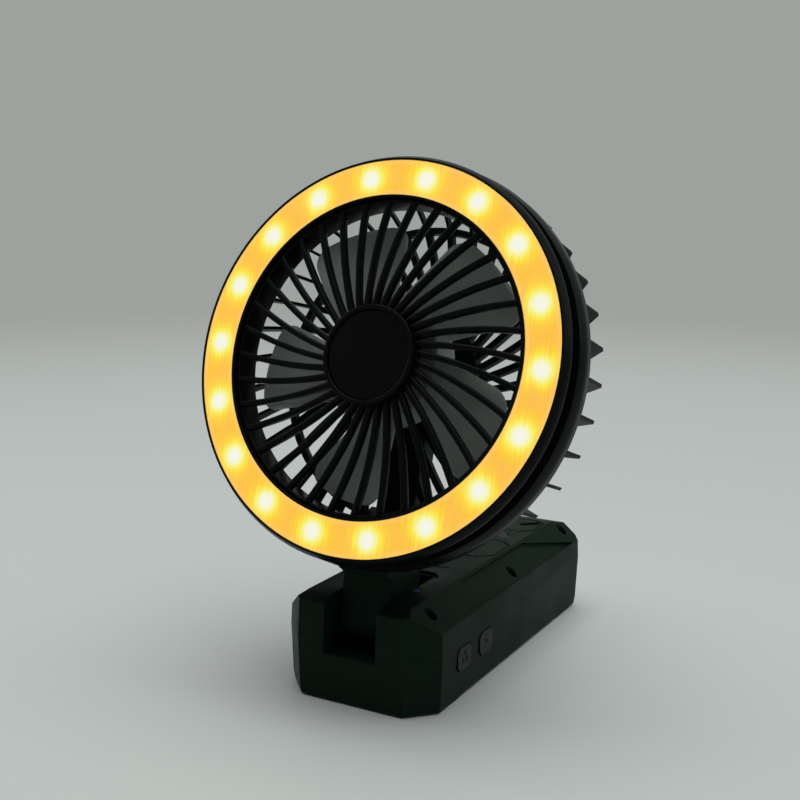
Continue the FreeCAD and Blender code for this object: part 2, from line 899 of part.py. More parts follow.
def notch_corners():
    """The slanted notch on the right of the rear field."""
    along = (cosine(g.notch_turn) * g.notch_length / 2, sine(g.notch_turn) * g.notch_length / 2)
    across = (-sine(g.notch_turn) * g.notch_width / 2, cosine(g.notch_turn) * g.notch_width / 2)
    middle = (g.notch_side, front + g.notch_setback)
    signs = ((-1, -1), (1, -1), (1, 1), (-1, 1))
    return [
        tuple(middle[i] + first * along[i] + second * across[i] for i in range(2)) for first, second in signs
    ]


def shoulder_panels():
    """A shallow sunken panel on each shoulder with slanted ends."""
    rise = g.base_height - g.side_face_height
    run = g.base_half_width - g.top_half_width
    slant = root(rise * rise + run * run)
    low = g.panel_lip
    high = slant - g.panel_top_gap
    start = front + g.panel_front_setback
    stop = front + g.panel_rear_setback
    panels = []
    for side in (1, -1):
        panel = Moulding("panel_right" if side > 0 else "panel_left")
        corners = [
            (side * -low, start - g.panel_front_lean),
            (side * -high, start),
            (side * -high, stop),
            (side * -low, stop + g.panel_rear_lean),
        ]
        face = panel.outline(
            "XY_Plane",
            corners,
            place=(side * g.base_half_width, 0, g.side_face_height),
            turn_axis=(0, side, 0),
            turn=slope(rise, run),
        )
        panel.pad(face, g.panel_depth * 2, both_sides=True)
        panels.append(panel.body)
    return panels


def foot_blocks(name, grow):
    """Four long rubber feet and a round one in the middle, or the seats that they sit in."""
    rear = g.base_length / 2 - g.foot_rear_gap - g.foot_length
    blocks = []
    for side in (1, -1):
        for start in (front + g.foot_front_setback, rear):
            near, far = sorted((side * g.foot_inner_side, side * g.foot_outer_side), key=lambda x: x.value)
            low = (near - grow, start - grow, 0)
            high = (far + grow, start + g.foot_length + grow, g.foot_thickness)
            blocks.append(box(f"{name}_{len(blocks)}", low, high))
    blocks.append(rod(f"{name}_middle", g.middle_foot_radius + grow, g.foot_thickness, (0, 0, 0)))
    return blocks


def build_base_small_parts():
    """Feet, case screws, hinge pin, friction washers and charge light."""
    node("rubber_feet", group("feet", foot_blocks("foot", as_size(0))))
    seat = g.parting_height + g.case_screw_seat
    screws = []
    for i, (x, y) in enumerate(screw_places()):
        shank = rod(f"case_shank_{i}", g.case_screw_radius, g.case_screw_length, (x, y, seat - g.case_screw_length))
        head = rod(f"case_head_{i}", g.case_screw_head_radius, g.case_screw_head_height, (x, y, seat))
        slot_low = (x - g.case_screw_radius, y - g.part_gap * 3, seat + g.case_screw_head_height / 2)
        slot_high = (x + g.case_screw_radius, y + g.part_gap * 3, seat + g.case_screw_head_height * 2)
        driver = box(f"case_drive_{i}", slot_low, slot_high)
        screws.append(cut(f"case_screw_{i}", fuse(f"case_screw_blank_{i}", [shank, head]), [driver]))
    node("case_screws", group("screws", screws))
    reach = g.slot_half_width + g.slot_wall + g.pin_boss_length - g.slot_wall
    node("hinge_pin", rod("pin", g.pin_radius, reach * 2, (-reach, pivot_y, pivot_z), "x"))
    light = (g.indicator_side, front + g.indicator_setback, g.base_height - g.base_wall)
    node("charge_light", rod("lens", g.indicator_radius, g.base_wall, light))


def icon(label, middle, face_x):
    """Round dimples in a button's face: three lobes for the fan, a lamp with rays for the light."""
    if label == "fan_button":
        rings = [(g.icon_radius, g.icon_circle, 3)]
    else:
        rings = [(g.icon_radius, as_size(0), 1), (g.icon_ray_radius, g.icon_ray_circle, 6)]
    dimples = []
    for radius, circle, count in rings:
        for i in range(count):
            angle = math.radians(90 + 360 * i / count)
            y = middle + circle * math.cos(angle)
            z = g.button_centre_height + circle * math.sin(angle)
            start = (face_x - g.icon_depth, y, z)
            dimples.append(rod(f"{label}_dimple_{len(dimples)}", radius, g.icon_depth * 2, start, "x"))
    return dimples


def build_buttons():
    """The two push buttons, their switches and the board behind them."""
    face_x = side_at(g.button_centre_height) + g.button_proud
    flange_front = side_at(g.button_centre_height - g.button_height) - g.base_wall - g.button_slack
    flange_back = flange_front - g.button_flange
    plunger_tip = flange_back - g.button_travel - g.part_gap
    board_face = plunger_tip - g.plunger_height - g.switch_height
    for label, setback in BUTTONS.items():
        cap = Moulding(f"{label}_cap")
        flange = cap.outline("YZ_Plane", button_face(setback, g.button_flange_edge), place=(0, 0, flange_back))
        cap.pad(flange, g.button_flange)
        key = cap.outline("YZ_Plane", button_face(setback, 0), place=(0, 0, flange_back))
        cap.pad(key, face_x - flange_back)
        node(label, cut(f"{label}_key", cap.body, icon(label, front + setback, face_x)))
    board_middle = front + (g.fan_button_setback + g.light_button_setback) / 2
    low = (board_face - g.button_board_thickness, board_middle - g.button_board_length / 2, floor_top)
    high = (board_face, board_middle + g.button_board_length / 2, floor_top + g.button_board_height)
    node("button_board", box("key_board", low, high))
    switches = []
    for i, setback in enumerate(BUTTONS.values()):
        middle = front + setback
        half = g.switch_size / 2
        body_low = (board_face, middle - half, g.button_centre_height - half)
        body_high = (board_face + g.switch_height, middle + half, g.button_centre_height + half)
        body = box(f"switch_body_{i}", body_low, body_high)
        start = (board_face + g.switch_height, middle, g.button_centre_height)
        plunger = rod(f"switch_plunger_{i}", g.plunger_radius, g.plunger_height, start, "x")
        switches.append(fuse(f"switch_{i}", [body, plunger]))
    node("tact_switches", group("switches", switches))


def cell_places():
    """The four battery cells as seen from the end of the base."""
    low = floor_top + g.holder_floor + g.cell_radius + g.cell_clearance
    return [(side * g.cell_pitch / 2, low + level * g.cell_pitch) for side in (1, -1) for level in (0, 1)]


def build_battery():
    """Four cells in two end holders, with the strips that join them."""
    rear = g.base_length / 2 - g.base_wall - g.battery_end_gap
    start = rear - g.cell_length - g.cell_nub_height
    cells = []
    for i, (x, z) in enumerate(cell_places()):
        can = rod(f"cell_can_{i}", g.cell_radius, g.cell_length, (x, start, z), "y")
        nub = rod(f"cell_nub_{i}", g.cell_nub_radius, g.cell_nub_height, (x, start + g.cell_length, z), "y")
        cells.append(fuse(f"cell_{i}", [can, nub]))
    node("battery_cells", group("cells", cells))
    side = g.cell_pitch / 2 + g.cell_radius + g.cell_clearance + g.holder_wall
    top = g.base_height - g.base_wall - g.holder_top_gap
    holders = []
    for i, y in enumerate((start + g.holder_wall, start + g.cell_length - g.holder_thickness - g.holder_wall)):
        block = box(f"holder_block_{i}", (-side, y, floor_top), (side, y + g.holder_thickness, top))
        bores = [
            rod(f"holder_bore_{i}_{j}", g.cell_radius + g.cell_clearance, g.holder_thickness, (x, y, z), "y")
            for j, (x, z) in enumerate(cell_places())
        ]
        holders.append(cut(f"holder_{i}", block, bores))
    node("cell_holders", group("holders", holders))
    low_z = floor_top + g.holder_floor + g.tab_margin
    high_z = low_z + g.cell_pitch * 2 - g.tab_margin * 2
    strips = []
    for i, y in enumerate((start - g.tab_thickness, start + g.cell_length + g.cell_nub_height)):
        for j, x in enumerate((g.cell_pitch / 2, -g.cell_pitch / 2)):
            low = (x - g.cell_nub_radius, y, low_z)
            high = (x + g.cell_nub_radius, y + g.tab_thickness, high_z)
            strips.append(box(f"strip_{i}_{j}", low, high))
    node("battery_strips", group("strips", strips))
    return start


def build_electronics(battery_start):
    """The main board with its parts, its screws, the two sockets and the battery leads."""
    low = (board_low_x, board_front_y, board_top - g.board_thickness)
    high = (board_low_x + g.board_width, board_front_y + g.board_length, board_top)
    plate = box("board_plate", low, high)
    holes = [
        rod(f"board_hole_{i}", g.board_screw_radius + g.thread_clearance, g.board_thickness, (x, y, low[2]))
        for i, (x, y) in enumerate(board_corners())
    ]
    node("main_board", cut("board", plate, holes))
    screws = []
    for i, (x, y) in enumerate(board_corners()):
        shank_low = (x, y, board_top - g.board_screw_length)
        shank = rod(f"board_shank_{i}", g.board_screw_radius, g.board_screw_length, shank_low)
        head = rod(f"board_head_{i}", g.board_screw_head, g.board_screw_head_height, (x, y, board_top))
        screws.append(fuse(f"board_screw_{i}", [shank, head]))
    node("board_screws", group("small_screws", screws))
    middle_x = board_low_x + g.board_width * 0.6
    middle_y = board_front_y + g.board_length / 2
    choke = box(
        "choke",
        (middle_x, middle_y, board_top),
        (middle_x + g.choke_side, middle_y + g.choke_side, board_top + g.choke_height),
    )
    chip = box(
        "chip",
        (middle_x, middle_y - g.choke_side * 1.5, board_top),
        (middle_x + g.chip_side, middle_y - g.choke_side * 1.5 + g.chip_side, board_top + g.chip_height),
    )
    capacitor_place = (middle_x - g.choke_side, middle_y, board_top)
    capacitor = rod("capacitor", g.capacitor_radius, g.capacitor_height, capacitor_place)
    node("board_parts", group("board_components", [choke, chip, capacitor]))
    tongues = []
    for name, (width, height, depth, middle) in socket_blocks().items():
        mouth = -side_at(g.button_centre_height)
        skin = g.socket_skin
        shell = box(
            f"{name}_block",
            (mouth, middle - width / 2, board_top),
            (mouth + depth, middle + width / 2, board_top + height),
        )
        cavity = box(
            f"{name}_cavity",
            (mouth - skin, middle - width / 2 + skin, board_top + skin),
            (mouth + depth - skin, middle + width / 2 - skin, board_top + height - skin),
        )
        node(f"{name}_socket", cut(f"{name}_shell", shell, [cavity]))
        thick = g.socket_tongue if name == "usb_out" else g.usb_in_tongue
        level = board_top + height / 2
        side = width / 2 - skin * 3
        tongue_low = (mouth + skin * 2, middle - side, level - thick / 2)
        tongue_high = (mouth + depth - skin, middle + side, level + thick / 2)
        tongues.append(box(f"{name}_tongue", tongue_low, tongue_high))
    node("socket_tongues", group("tongues", tongues))
    leads = []
    for i, side in enumerate((1, -1)):
        reach = battery_start - (board_front_y + g.board_length)
        x = side * g.cell_nub_radius + board_low_x / 2 + g.board_width / 4
        start = (x, board_front_y + g.board_length, board_top - g.board_thickness + g.lead_radius)
        leads.append(rod(f"lead_{i}", g.lead_radius, reach - g.tab_thickness, start, "y"))
    node("battery_leads", group("leads", leads))


# Head: sketches here are in the head's own frame, with the light ring's face at y = 0 and +Y to the rear


def build_light_ring():
    """Bezel, diffuser, annular board and the light chips."""
    bezel = Moulding("bezel")
    edge = g.ring_outer_radius + g.outer_lip
    outer = edge + g.outer_flare
    groove = outer - g.groove_depth
    duct = g.ring_inner_radius - g.inner_lip
    ledge = g.diffuser_thickness + g.part_gap
    inner_channel = g.ring_inner_radius + g.ledge_width
    outer_channel = g.ring_outer_radius - g.ledge_width
    section = [
        (-g.lip_front, duct),
        (-g.lip_front, g.ring_inner_radius),
        (ledge, g.ring_inner_radius),
        (ledge, inner_channel),
        (g.channel_floor, inner_channel),
        (g.channel_floor, outer_channel),
        (ledge, outer_channel),
        (ledge, g.ring_outer_radius),
        (-g.lip_front, g.ring_outer_radius),
        (-g.lip_front, edge - g.lip_front),
        (g.lip_front, edge),
        (g.front_band_depth * 0.6, outer),
        (g.front_band_depth, outer),
        (g.front_band_depth, groove),
        (g.bezel_back, groove),
        (g.bezel_back, inner_channel),
        (g.duct_back, inner_channel),
        (g.duct_back, duct),
    ]
    bezel.revolve(bezel.outline("YZ_Plane", section))
    holes = lug_holes("bezel_hole", g.bezel_back - g.channel_floor, g.channel_floor)
    head_node("front_bezel", cut("bezel_drilled", bezel.body, holes))
    lens_low = g.ring_inner_radius + g.diffuser_clearance
    lens_high = g.ring_outer_radius - g.diffuser_clearance
    lens = Moulding("lens_ring")
    ring = [(0, lens_low), (g.diffuser_thickness, lens_low), (g.diffuser_thickness, lens_high), (0, lens_high)]
    lens.revolve(lens.outline("YZ_Plane", ring))
    head_node("light_diffuser", lens.body)
    board_front = g.channel_floor - g.led_board_thickness
    board = Moulding("led_ring")
    low = inner_channel + g.led_board_margin
    high = outer_channel - g.led_board_margin
    ring = [(board_front, low), (g.channel_floor, low), (g.channel_floor, high), (board_front, high)]
    board.revolve(board.outline("YZ_Plane", ring))
    head_node("led_board", board.body)
    chips = Moulding("chips")
    half = g.led_side / 2
    face = [(g.led_radius - half, -half), (g.led_radius + half, -half)]
    face = face + [(x, -z) for x, z in reversed(face)]
    chip = chips.pad(chips.outline("XZ_Plane", face, place=(0, 0, g.led_height - board_front)), g.led_height, back=True)
    chips.repeat_round([chip], g.led_count)
    head_node("led_chips", chips.body)


def lug_places():
    """The screws round the head, as places in the head's frame."""
    count = SIZES["lug_count"]
    angles = [g.lug_start_angle + i * 360 / g.lug_count for i in range(count)]
    return [(g.lug_circle * cosine(angle), g.lug_circle * sine(angle)) for angle in angles]


def lug_holes(name, length, start):
    """The holes of the head screws through one layer."""
    radius = g.case_screw_radius + g.thread_clearance
    return [rod(f"{name}_{i}", radius, length, (x, start, z), "y") for i, (x, z) in enumerate(lug_places())]


def build_rear_shell():
    """The rear band of the head and the flange that closes the light channel."""
    shell = Moulding("rear_band")
    bore = g.ring_inner_radius + g.ledge_width + g.part_gap
    face = g.bezel_back + g.part_gap
    inside = g.rear_band_radius - g.rear_band_wall
    section = [
        (face, bore),
        (face, g.rear_band_front_radius),
        (face + g.rear_band_crown, g.rear_band_radius),
        (g.rear_band_back - g.rear_band_crown / 2, g.rear_band_radius),
        (g.rear_band_back, g.rear_band_front_radius),
        (g.rear_band_back, inside),
        (face + g.rear_flange, inside),
        (face + g.rear_flange, bore),
    ]
    shell.revolve(shell.outline("YZ_Plane", section))
    holes = lug_holes("rear_shell_hole", g.rear_flange, face)
    head_node("rear_shell", cut("rear_band_drilled", shell.body, holes))


def build_front_grille():
    """Hoop, curved ribs and centre ring in one moulding, and the cap in its middle."""
    grille = Moulding("grille")
    hoop_outer = g.ring_inner_radius - g.inner_lip - g.part_gap / 2
    hoop_inner = hoop_outer - g.hoop_wall
    hoop = [(g.hoop_front, hoop_inner), (g.duct_back, hoop_inner), (g.duct_back, hoop_outer), (g.hoop_front, hoop_outer)]
    grille.revolve(grille.outline("YZ_Plane", hoop))
    seat = g.hub_ring_radius - g.hub_ring_wall
    ring = [
        (-g.hub_ring_front + g.hub_ring_wall / 3, seat),
        (-g.hub_ring_front, seat + g.hub_ring_wall / 3),
        (-g.hub_ring_front, g.hub_ring_radius - g.hub_ring_wall / 3),
        (-g.hub_ring_front + g.hub_ring_wall / 2, g.hub_ring_radius),
        (g.hub_ring_back, g.hub_ring_radius),
        (g.hub_ring_back, 0),
        (g.cap_back, 0),
        (g.cap_back, seat),
    ]
    rib_drawing = grille.sketch("XZ_Plane", place=(0, 0, -g.rib_front), turn_axis=(0, 0, 1), turn=g.rib_start_angle)
    centre = (g.rib_flat_radius, g.rib_rise - g.rib_sweep_radius)
    inner = g.hub_ring_radius - g.hub_ring_wall / 2
    outer = hoop_outer - g.hoop_wall / 2
    add_swept_strip(rib_drawing, centre, g.rib_sweep_radius, g.rib_width, inner, outer)
    rib = grille.pad(rib_drawing, g.rib_back - g.rib_front, back=True)
    grille.repeat_round([rib], g.rib_count)
    grille.revolve(grille.outline("YZ_Plane", ring))
    head_node("front_grille", grille.body)
    cap_radius = seat - g.cap_clearance
    cap = Moulding("cap")
    disc = [
        (-g.cap_front, 0),
        (-g.cap_front, cap_radius - g.cap_clearance),
        (-g.cap_front + g.cap_clearance, cap_radius),
        (g.cap_back, cap_radius),
        (g.cap_back, 0),
    ]
    cap.revolve(cap.outline("YZ_Plane", disc))
    head_node("grille_cap", cap.body)


def build_rear_guard():
    """Thirty-six swept fins on an outer ring, a middle ring and the hub that carries the motor."""
    guard = Moulding("guard")
    start = g.rear_band_back + g.part_gap * 2
    depth = g.guard_back - start
    centre = (g.guard_hub_radius, g.fin_sweep_radius - g.rib_rise * 2)
    spokes = []
    for width, inner, outer in (
        (g.rod_width, g.guard_hub_radius - g.guard_hub_wall, g.guard_ring_radius),
        (g.fin_width, g.guard_ring_radius, g.rear_band_radius + g.rear_band_wall),
    ):
        drawing = guard.sketch("XZ_Plane", place=(0, 0, -start), turn_axis=(0, 0, 1), turn=g.fin_start_angle)
        add_swept_strip(drawing, centre, g.fin_sweep_radius, width, inner, outer)
        spokes.append(guard.pad(drawing, depth, back=True))
    guard.repeat_round(spokes, g.fin_count)
    hub_front = g.guard_back - g.rod_thickness
    ring_front = g.guard_ring_back - g.rod_thickness
    small = g.shaft_radius
    inside = [
        (start - depth, small),
        (start - depth, g.fin_root_radius),
        (start + depth / 2, g.fin_root_radius - g.fin_width),
        (ring_front, g.guard_ring_radius - g.guard_ring_width / 2),
        (hub_front, g.guard_hub_radius - g.guard_hub_wall),
        (hub_front, small),
    ]
    beyond = g.rear_band_radius * 1.2
    outside = [
        (start - depth, g.fin_radius),
        (g.fin_depth, g.fin_radius),
        (g.guard_ring_back, g.guard_ring_radius),
        (g.guard_back, g.guard_hub_radius),
        (g.guard_back + depth, g.guard_hub_radius),
        (g.guard_back + depth, beyond),
        (start - depth, beyond),
    ]
    guard.groove(guard.outline("YZ_Plane", inside))
    guard.groove(guard.outline("YZ_Plane", outside))
    ring_half = g.guard_ring_width / 2
    rings = [
        [
            (ring_front, g.guard_ring_radius - ring_half),
            (g.guard_ring_back, g.guard_ring_radius - ring_half),
            (g.guard_ring_back, g.guard_ring_radius + ring_half),
            (ring_front, g.guard_ring_radius + ring_half),
        ],
        ring_section(
            g.bezel_back + g.part_gap * 2 + g.rear_flange,
            start + g.fin_width,
            g.fin_root_radius,
            g.rear_band_radius - g.rear_band_wall - g.part_gap,
        ),
        [
            (g.guard_plate_front, g.bearing_radius * 2),
            (g.guard_plate_front, g.guard_hub_radius),
            (g.guard_back, g.guard_hub_radius),
            (g.guard_back, g.guard_hub_radius - g.guard_hub_wall),
            (g.guard_plate_front + g.guard_plate_thickness, g.guard_hub_radius - g.guard_hub_wall),
            (g.guard_plate_front + g.guard_plate_thickness, g.bearing_radius * 2),
        ],
    ]
    for section in rings:
        guard.revolve(guard.outline("YZ_Plane", section))
    lug_front = g.bezel_back + g.part_gap * 2 + g.rear_flange
    lug_drawing = guard.disc(
        "XZ_Plane",
        g.lug_radius,
        (g.lug_circle, 0),
        place=(0, 0, -lug_front),
        turn_axis=(0, 0, 1),
        turn=g.lug_start_angle,
    )
    lug = guard.pad(lug_drawing, g.lug_back - lug_front, back=True)
    guard.repeat_round([lug], g.lug_count)
    holes = lug_holes("guard_hole", g.lug_back, g.part_gap)
    holes += motor_screw_holes()
    gap = g.part_gap
    spine_side = g.spine_half_width + gap
    neck_side = arm_half_width + gap
    holes.append(
        box(
            "guard_spine_space",
            (-spine_side, ring_front - gap, -g.guard_ring_radius - ring_half - gap),
            (spine_side, g.pod_back, -g.guard_hub_radius),
        )
    )
    holes.append(
        box(
            "guard_rim_space",
            (-spine_side, g.guard_plate_front + g.guard_plate_thickness, -g.guard_hub_radius),
            (spine_side, g.pod_back, 0),
        )
    )
    holes.append(
        box(
            "guard_neck_space",
            (-neck_side, start, -g.rear_band_radius * 1.1),
            (neck_side, g.pod_back, -g.neck_shoulder_drop),
        )
    )
    head_node("rear_guard", cut("guard_cut", guard.body, holes))


def ring_section(front_face, back_face, low, high):
    """A rectangle that turns into a plain ring."""
    return [(front_face, low), (back_face, low), (back_face, high), (front_face, high)]


def motor_screw_places():
    """The screws that hold the motor to the guard's hub plate."""
    count = SIZES["motor_screw_count"]
    angles = [90 + i * 360 / g.motor_screw_count for i in range(count)]
    angles = [as_size(angle) for angle in angles]
    return [(g.motor_screw_circle * cosine(a), g.motor_screw_circle * sine(a)) for a in angles]


def motor_screw_holes():
    """Stepped holes that let the motor screws lie flush in the hub plate."""
    holes = []
    plate_back = g.guard_plate_front + g.guard_plate_thickness
    for i, (x, z) in enumerate(motor_screw_places()):
        shank = g.motor_screw_radius + g.thread_clearance
        head = g.motor_screw_head + g.thread_clearance
        holes.append(rod(f"motor_hole_{i}", shank, g.guard_plate_thickness, (x, g.guard_plate_front, z), "y"))
        seat = plate_back - g.motor_screw_head_height - g.thread_clearance
        holes.append(rod(f"motor_seat_{i}", head, g.guard_plate_thickness, (x, seat, z), "y"))
    return holes


def build_head_screws():
    """The six screws that hold guard, rear shell and bezel together."""
    screws = []
    for i, (x, z) in enumerate(lug_places()):
        start = g.channel_floor + g.part_gap
        shank = rod(f"head_shank_{i}", g.case_screw_radius, g.lug_back - start, (x, start, z), "y")
        head = rod(f"head_head_{i}", g.case_screw_head_radius, g.case_screw_head_height, (x, g.lug_back, z), "y")
        screws.append(fuse(f"head_screw_{i}", [shank, head]))
    head_node("head_screws", group("ring_screws", screws))


def build_arm():
    """The arm: a hollow front shell with the hinge knuckle, and the cover along its back."""
    plate_face = g.guard_plate_front + g.guard_plate_thickness + g.part_gap / 2
    split = g.arm_split_depth
    rear_face = g.pivot_depth + g.knuckle_radius
    foot_face = g.rear_band_back + g.part_gap * 3
    shell = Moulding("arm_front")
    neck = [
        (g.pivot_depth - g.knuckle_radius, -g.pivot_drop),
        (g.neck_front_depth, -g.neck_front_drop),
        (foot_face, -g.neck_foot_drop),
        (foot_face, -g.neck_foot_top),
        (plate_face, -g.neck_shoulder_drop),
        (split, -g.neck_shoulder_drop),
        (split, -g.neck_split_drop),
        (rear_face, -g.neck_split_drop),
        (rear_face, -g.pivot_drop),
    ]
    shell.pad(shell.outline("YZ_Plane", neck), arm_half_width * 2, both_sides=True)
    knuckle = shell.disc("YZ_Plane", g.knuckle_radius, (g.pivot_depth, -g.pivot_drop))
    shell.pad(knuckle, arm_half_width * 2, both_sides=True)
    spine = [
        (plate_face, -g.neck_shoulder_drop - g.arm_wall),
        (split, -g.neck_shoulder_drop - g.arm_wall),
        (split, -g.guard_hub_radius / 2),
        (plate_face, -g.guard_hub_radius / 2),
    ]
    shell.pad(shell.outline("YZ_Plane", spine), g.spine_half_width * 2, both_sides=True)
    plate = shell.disc("XZ_Plane", g.pod_radius, place=(0, 0, -plate_face))
    shell.pad(plate, split - plate_face, back=True)
    wall = g.arm_wall
    hollow = [
        (g.neck_front_depth + wall, -g.neck_front_drop - wall / 2),
        (g.neck_front_depth + wall, -g.neck_foot_drop + wall),
        (foot_face + wall, -g.neck_foot_drop + wall * 1.5),
        (foot_face + wall, -g.neck_foot_top - wall / 2),
        (plate_face, -g.neck_shoulder_drop - wall * 1.5),
        (split + wall, -g.neck_shoulder_drop - wall * 1.5),
        (split + wall, -g.neck_split_drop + wall),
        (g.neck_front_depth + wall * 2, -g.neck_split_drop + wall),
    ]
    shell.pocket(shell.outline("YZ_Plane", hollow), (arm_half_width - wall) * 2, both_sides=True)
    holes = [
        rod("knuckle_bore", g.pin_radius + g.pin_clearance, arm_half_width * 2, (-arm_half_width, g.pivot_depth, -g.pivot_drop), "x"),
        rod("plate_bore", g.bearing_radius * 1.6, g.pod_back, (0, g.guard_plate_front, 0), "y"),
    ]
    x, z = arm_screw_places()[0]
    boss = rod("arm_boss", g.arm_boss_radius, split - foot_face, (x, foot_face, z), "y")
    solid = fuse("arm_front_solid", [shell.body, boss])
    for i, (x, z) in enumerate(arm_screw_places()):
        radius = g.arm_screw_radius + g.thread_clearance
        holes.append(rod(f"arm_pilot_{i}", radius, g.pod_back, (x, g.guard_plate_front, z), "y"))
    head_node("arm_front_shell", cut("arm_front_cut", solid, holes))
    build_arm_cover(split, rear_face)


def arm_screw_places():
    """The screws that hold the rear cover to the arm."""
    return [
        (as_size(0), -g.neck_screw_drop),
        (g.pod_screw_circle, as_size(0)),
        (-g.pod_screw_circle, as_size(0)),
    ]


def build_arm_cover(split, rear_face):
    """The rear cover of the arm: a channel that widens into the round motor pod."""
    cover = Moulding("arm_cover")
    shoulder = -g.neck_shoulder_drop - g.arm_wall
    low = -g.neck_split_drop + g.part_gap
    side = [(arm_half_width, low), (arm_half_width, shoulder), (g.spine_half_width, shoulder + g.arm_wall * 2)]
    side.append((g.spine_half_width, as_size(0)))
    edge = side + [(-x, z) for x, z in reversed(side)]
    channel = cover.outline("XZ_Plane", edge, place=(0, 0, -split))
    cover.pad(channel, rear_face - split, back=True)
    pod = cover.disc("XZ_Plane", g.pod_radius, place=(0, 0, -split))
    cover.pad(pod, g.pod_back - split, back=True, taper=-g.pod_taper)
    wall = g.arm_wall
    side = [
        (arm_half_width - wall, low + wall),
        (arm_half_width - wall, shoulder - wall / 2),
        (g.spine_half_width - wall, shoulder + wall * 1.5),
        (g.spine_half_width - wall, as_size(0)),
    ]
    edge = side + [(-x, z) for x, z in reversed(side)]
    space = cover.outline("XZ_Plane", edge, place=(0, 0, -split))
    cover.pocket(space, rear_face - split - wall, back=False)
    pod_space = cover.disc("XZ_Plane", g.pod_radius - wall * 1.3, place=(0, 0, -split))
    cover.pocket(pod_space, g.pod_back - split - wall, back=False)
    posts = []
    holes = []
    for i, (x, z) in enumerate(arm_screw_places()):
        back = rear_face if i == 0 else g.pod_back
        posts.append(rod(f"cover_post_{i}", g.arm_boss_radius, back - split - g.part_gap, (x, split, z), "y"))
        radius = g.arm_screw_radius + g.thread_clearance
        holes.append(rod(f"cover_hole_{i}", radius, back, (x, split, z), "y"))
        seat = back - g.arm_screw_head_height - g.part_gap * 5
        holes.append(rod(f"cover_seat_{i}", g.arm_screw_head_radius + g.part_gap, back, (x, seat, z), "y"))
    solid = fuse("arm_cover_solid", [cover.body] + posts)
    head_node("arm_rear_cover", cut("arm_cover_cut", solid, holes))
    screws = []
    for i, (x, z) in enumerate(arm_screw_places()):
        back = rear_face if i == 0 else g.pod_back
        seat = back - g.arm_screw_head_height - g.part_gap * 5
        start = g.guard_plate_front + g.guard_plate_thickness + g.part_gap
        shank = rod(f"arm_shank_{i}", g.arm_screw_radius, seat - start, (x, start, z), "y")
        head = rod(f"arm_head_{i}", g.arm_screw_head_radius, g.arm_screw_head_height, (x, seat, z), "y")
        screws.append(fuse(f"arm_screw_{i}", [shank, head]))
    head_node("arm_screws", group("cover_screws", screws))
    washers = []
    washer_bore = g.pin_radius + g.pin_clearance
    for i, x in enumerate((arm_half_width, -arm_half_width - g.washer_thickness)):
        place = (x, g.pivot_depth, -g.pivot_drop)
        washers.append(tube(f"washer_{i}", g.washer_radius, washer_bore, g.washer_thickness, place, "x"))
    head_node("friction_washers", group("washers", washers))
    wire_top = -g.driver_board_radius
    wire_low = -g.neck_split_drop + g.arm_wall + g.part_gap
    wire_place = (g.spine_half_width - g.arm_wall - g.lead_radius - g.part_gap, split + g.lead_radius, wire_low)
    head_node("arm_wiring", group("wire_run", [rod("wire", g.lead_radius, wire_top - wire_low, wire_place)]))


def build_motor():
    """Motor can, end plate, windings, bearings, screws and the driver board in the pod."""
    back = g.guard_plate_front - g.part_gap / 2
    plate_front = back - g.bearing_width
    seat = g.bearing_radius + g.bearing_clearance
    can = Moulding("can")
    section = [
        (g.motor_front, seat),
        (g.motor_front, g.motor_radius),
        (plate_front, g.motor_radius),
        (plate_front, g.motor_radius - g.motor_wall),
        (g.motor_front + g.bearing_width, g.motor_radius - g.motor_wall),
        (g.motor_front + g.bearing_width, seat),
    ]
    can.revolve(can.outline("YZ_Plane", section))
    head_node("motor_can", can.body)
    plate = Moulding("end_plate")
    plate.revolve(plate.outline("YZ_Plane", ring_section(plate_front, back, seat, g.motor_radius)))
    holes = [
        rod(f"end_plate_hole_{i}", g.motor_screw_radius + g.thread_clearance, g.bearing_width, (x, plate_front, z), "y")
        for i, (x, z) in enumerate(motor_screw_places())
    ]
    head_node("motor_end_plate", cut("end_plate_drilled", plate.body, holes))
    winding_front = g.motor_front + g.bearing_width + g.winding_gap
    winding_back = plate_front - g.winding_gap
    winding = Moulding("windings")
    low = g.rotor_radius + g.rotor_gap
    winding.revolve(winding.outline("YZ_Plane", ring_section(winding_front, winding_back, low, g.stator_radius)))
    head_node("motor_windings", winding.body)
    bore = g.shaft_radius + g.shaft_clearance
    rings = [
        tube(f"bearing_{i}", g.bearing_radius, bore, g.bearing_width, (0, y, 0), "y")
        for i, y in enumerate((g.motor_front, plate_front))
    ]
    head_node("motor_bearings", group("bearings", rings))
    screws = []
    head_low = g.guard_plate_front + g.guard_plate_thickness - g.motor_screw_head_height
    for i, (x, z) in enumerate(motor_screw_places()):
        start = plate_front + g.part_gap
        shank = rod(f"motor_shank_{i}", g.motor_screw_radius, head_low - start, (x, start, z), "y")
        head = rod(f"motor_head_{i}", g.motor_screw_head, g.motor_screw_head_height, (x, head_low, z), "y")
        screws.append(fuse(f"motor_screw_{i}", [shank, head]))
    head_node("motor_screws", group("plate_screws", screws))
    board = tube(
        "driver",
        g.driver_board_radius,
        g.driver_board_bore,
        g.board_thickness,
        (0, g.arm_split_depth, 0),
        "y",
    )
    head_node("driver_board", board)
    rotor = Moulding("rotor")
    shaft_fit = g.shaft_radius + g.shaft_clearance / 2
    rotor.revolve(rotor.outline("YZ_Plane", ring_section(winding_front, winding_back, shaft_fit, g.rotor_radius)))
    head_node("motor_rotor", rotor.body)
    shaft = rod("shaft", g.shaft_radius, g.shaft_back - g.shaft_front, (0, g.shaft_front, 0), "y")
    head_node("motor_shaft", group("shaft_run", [shaft]))


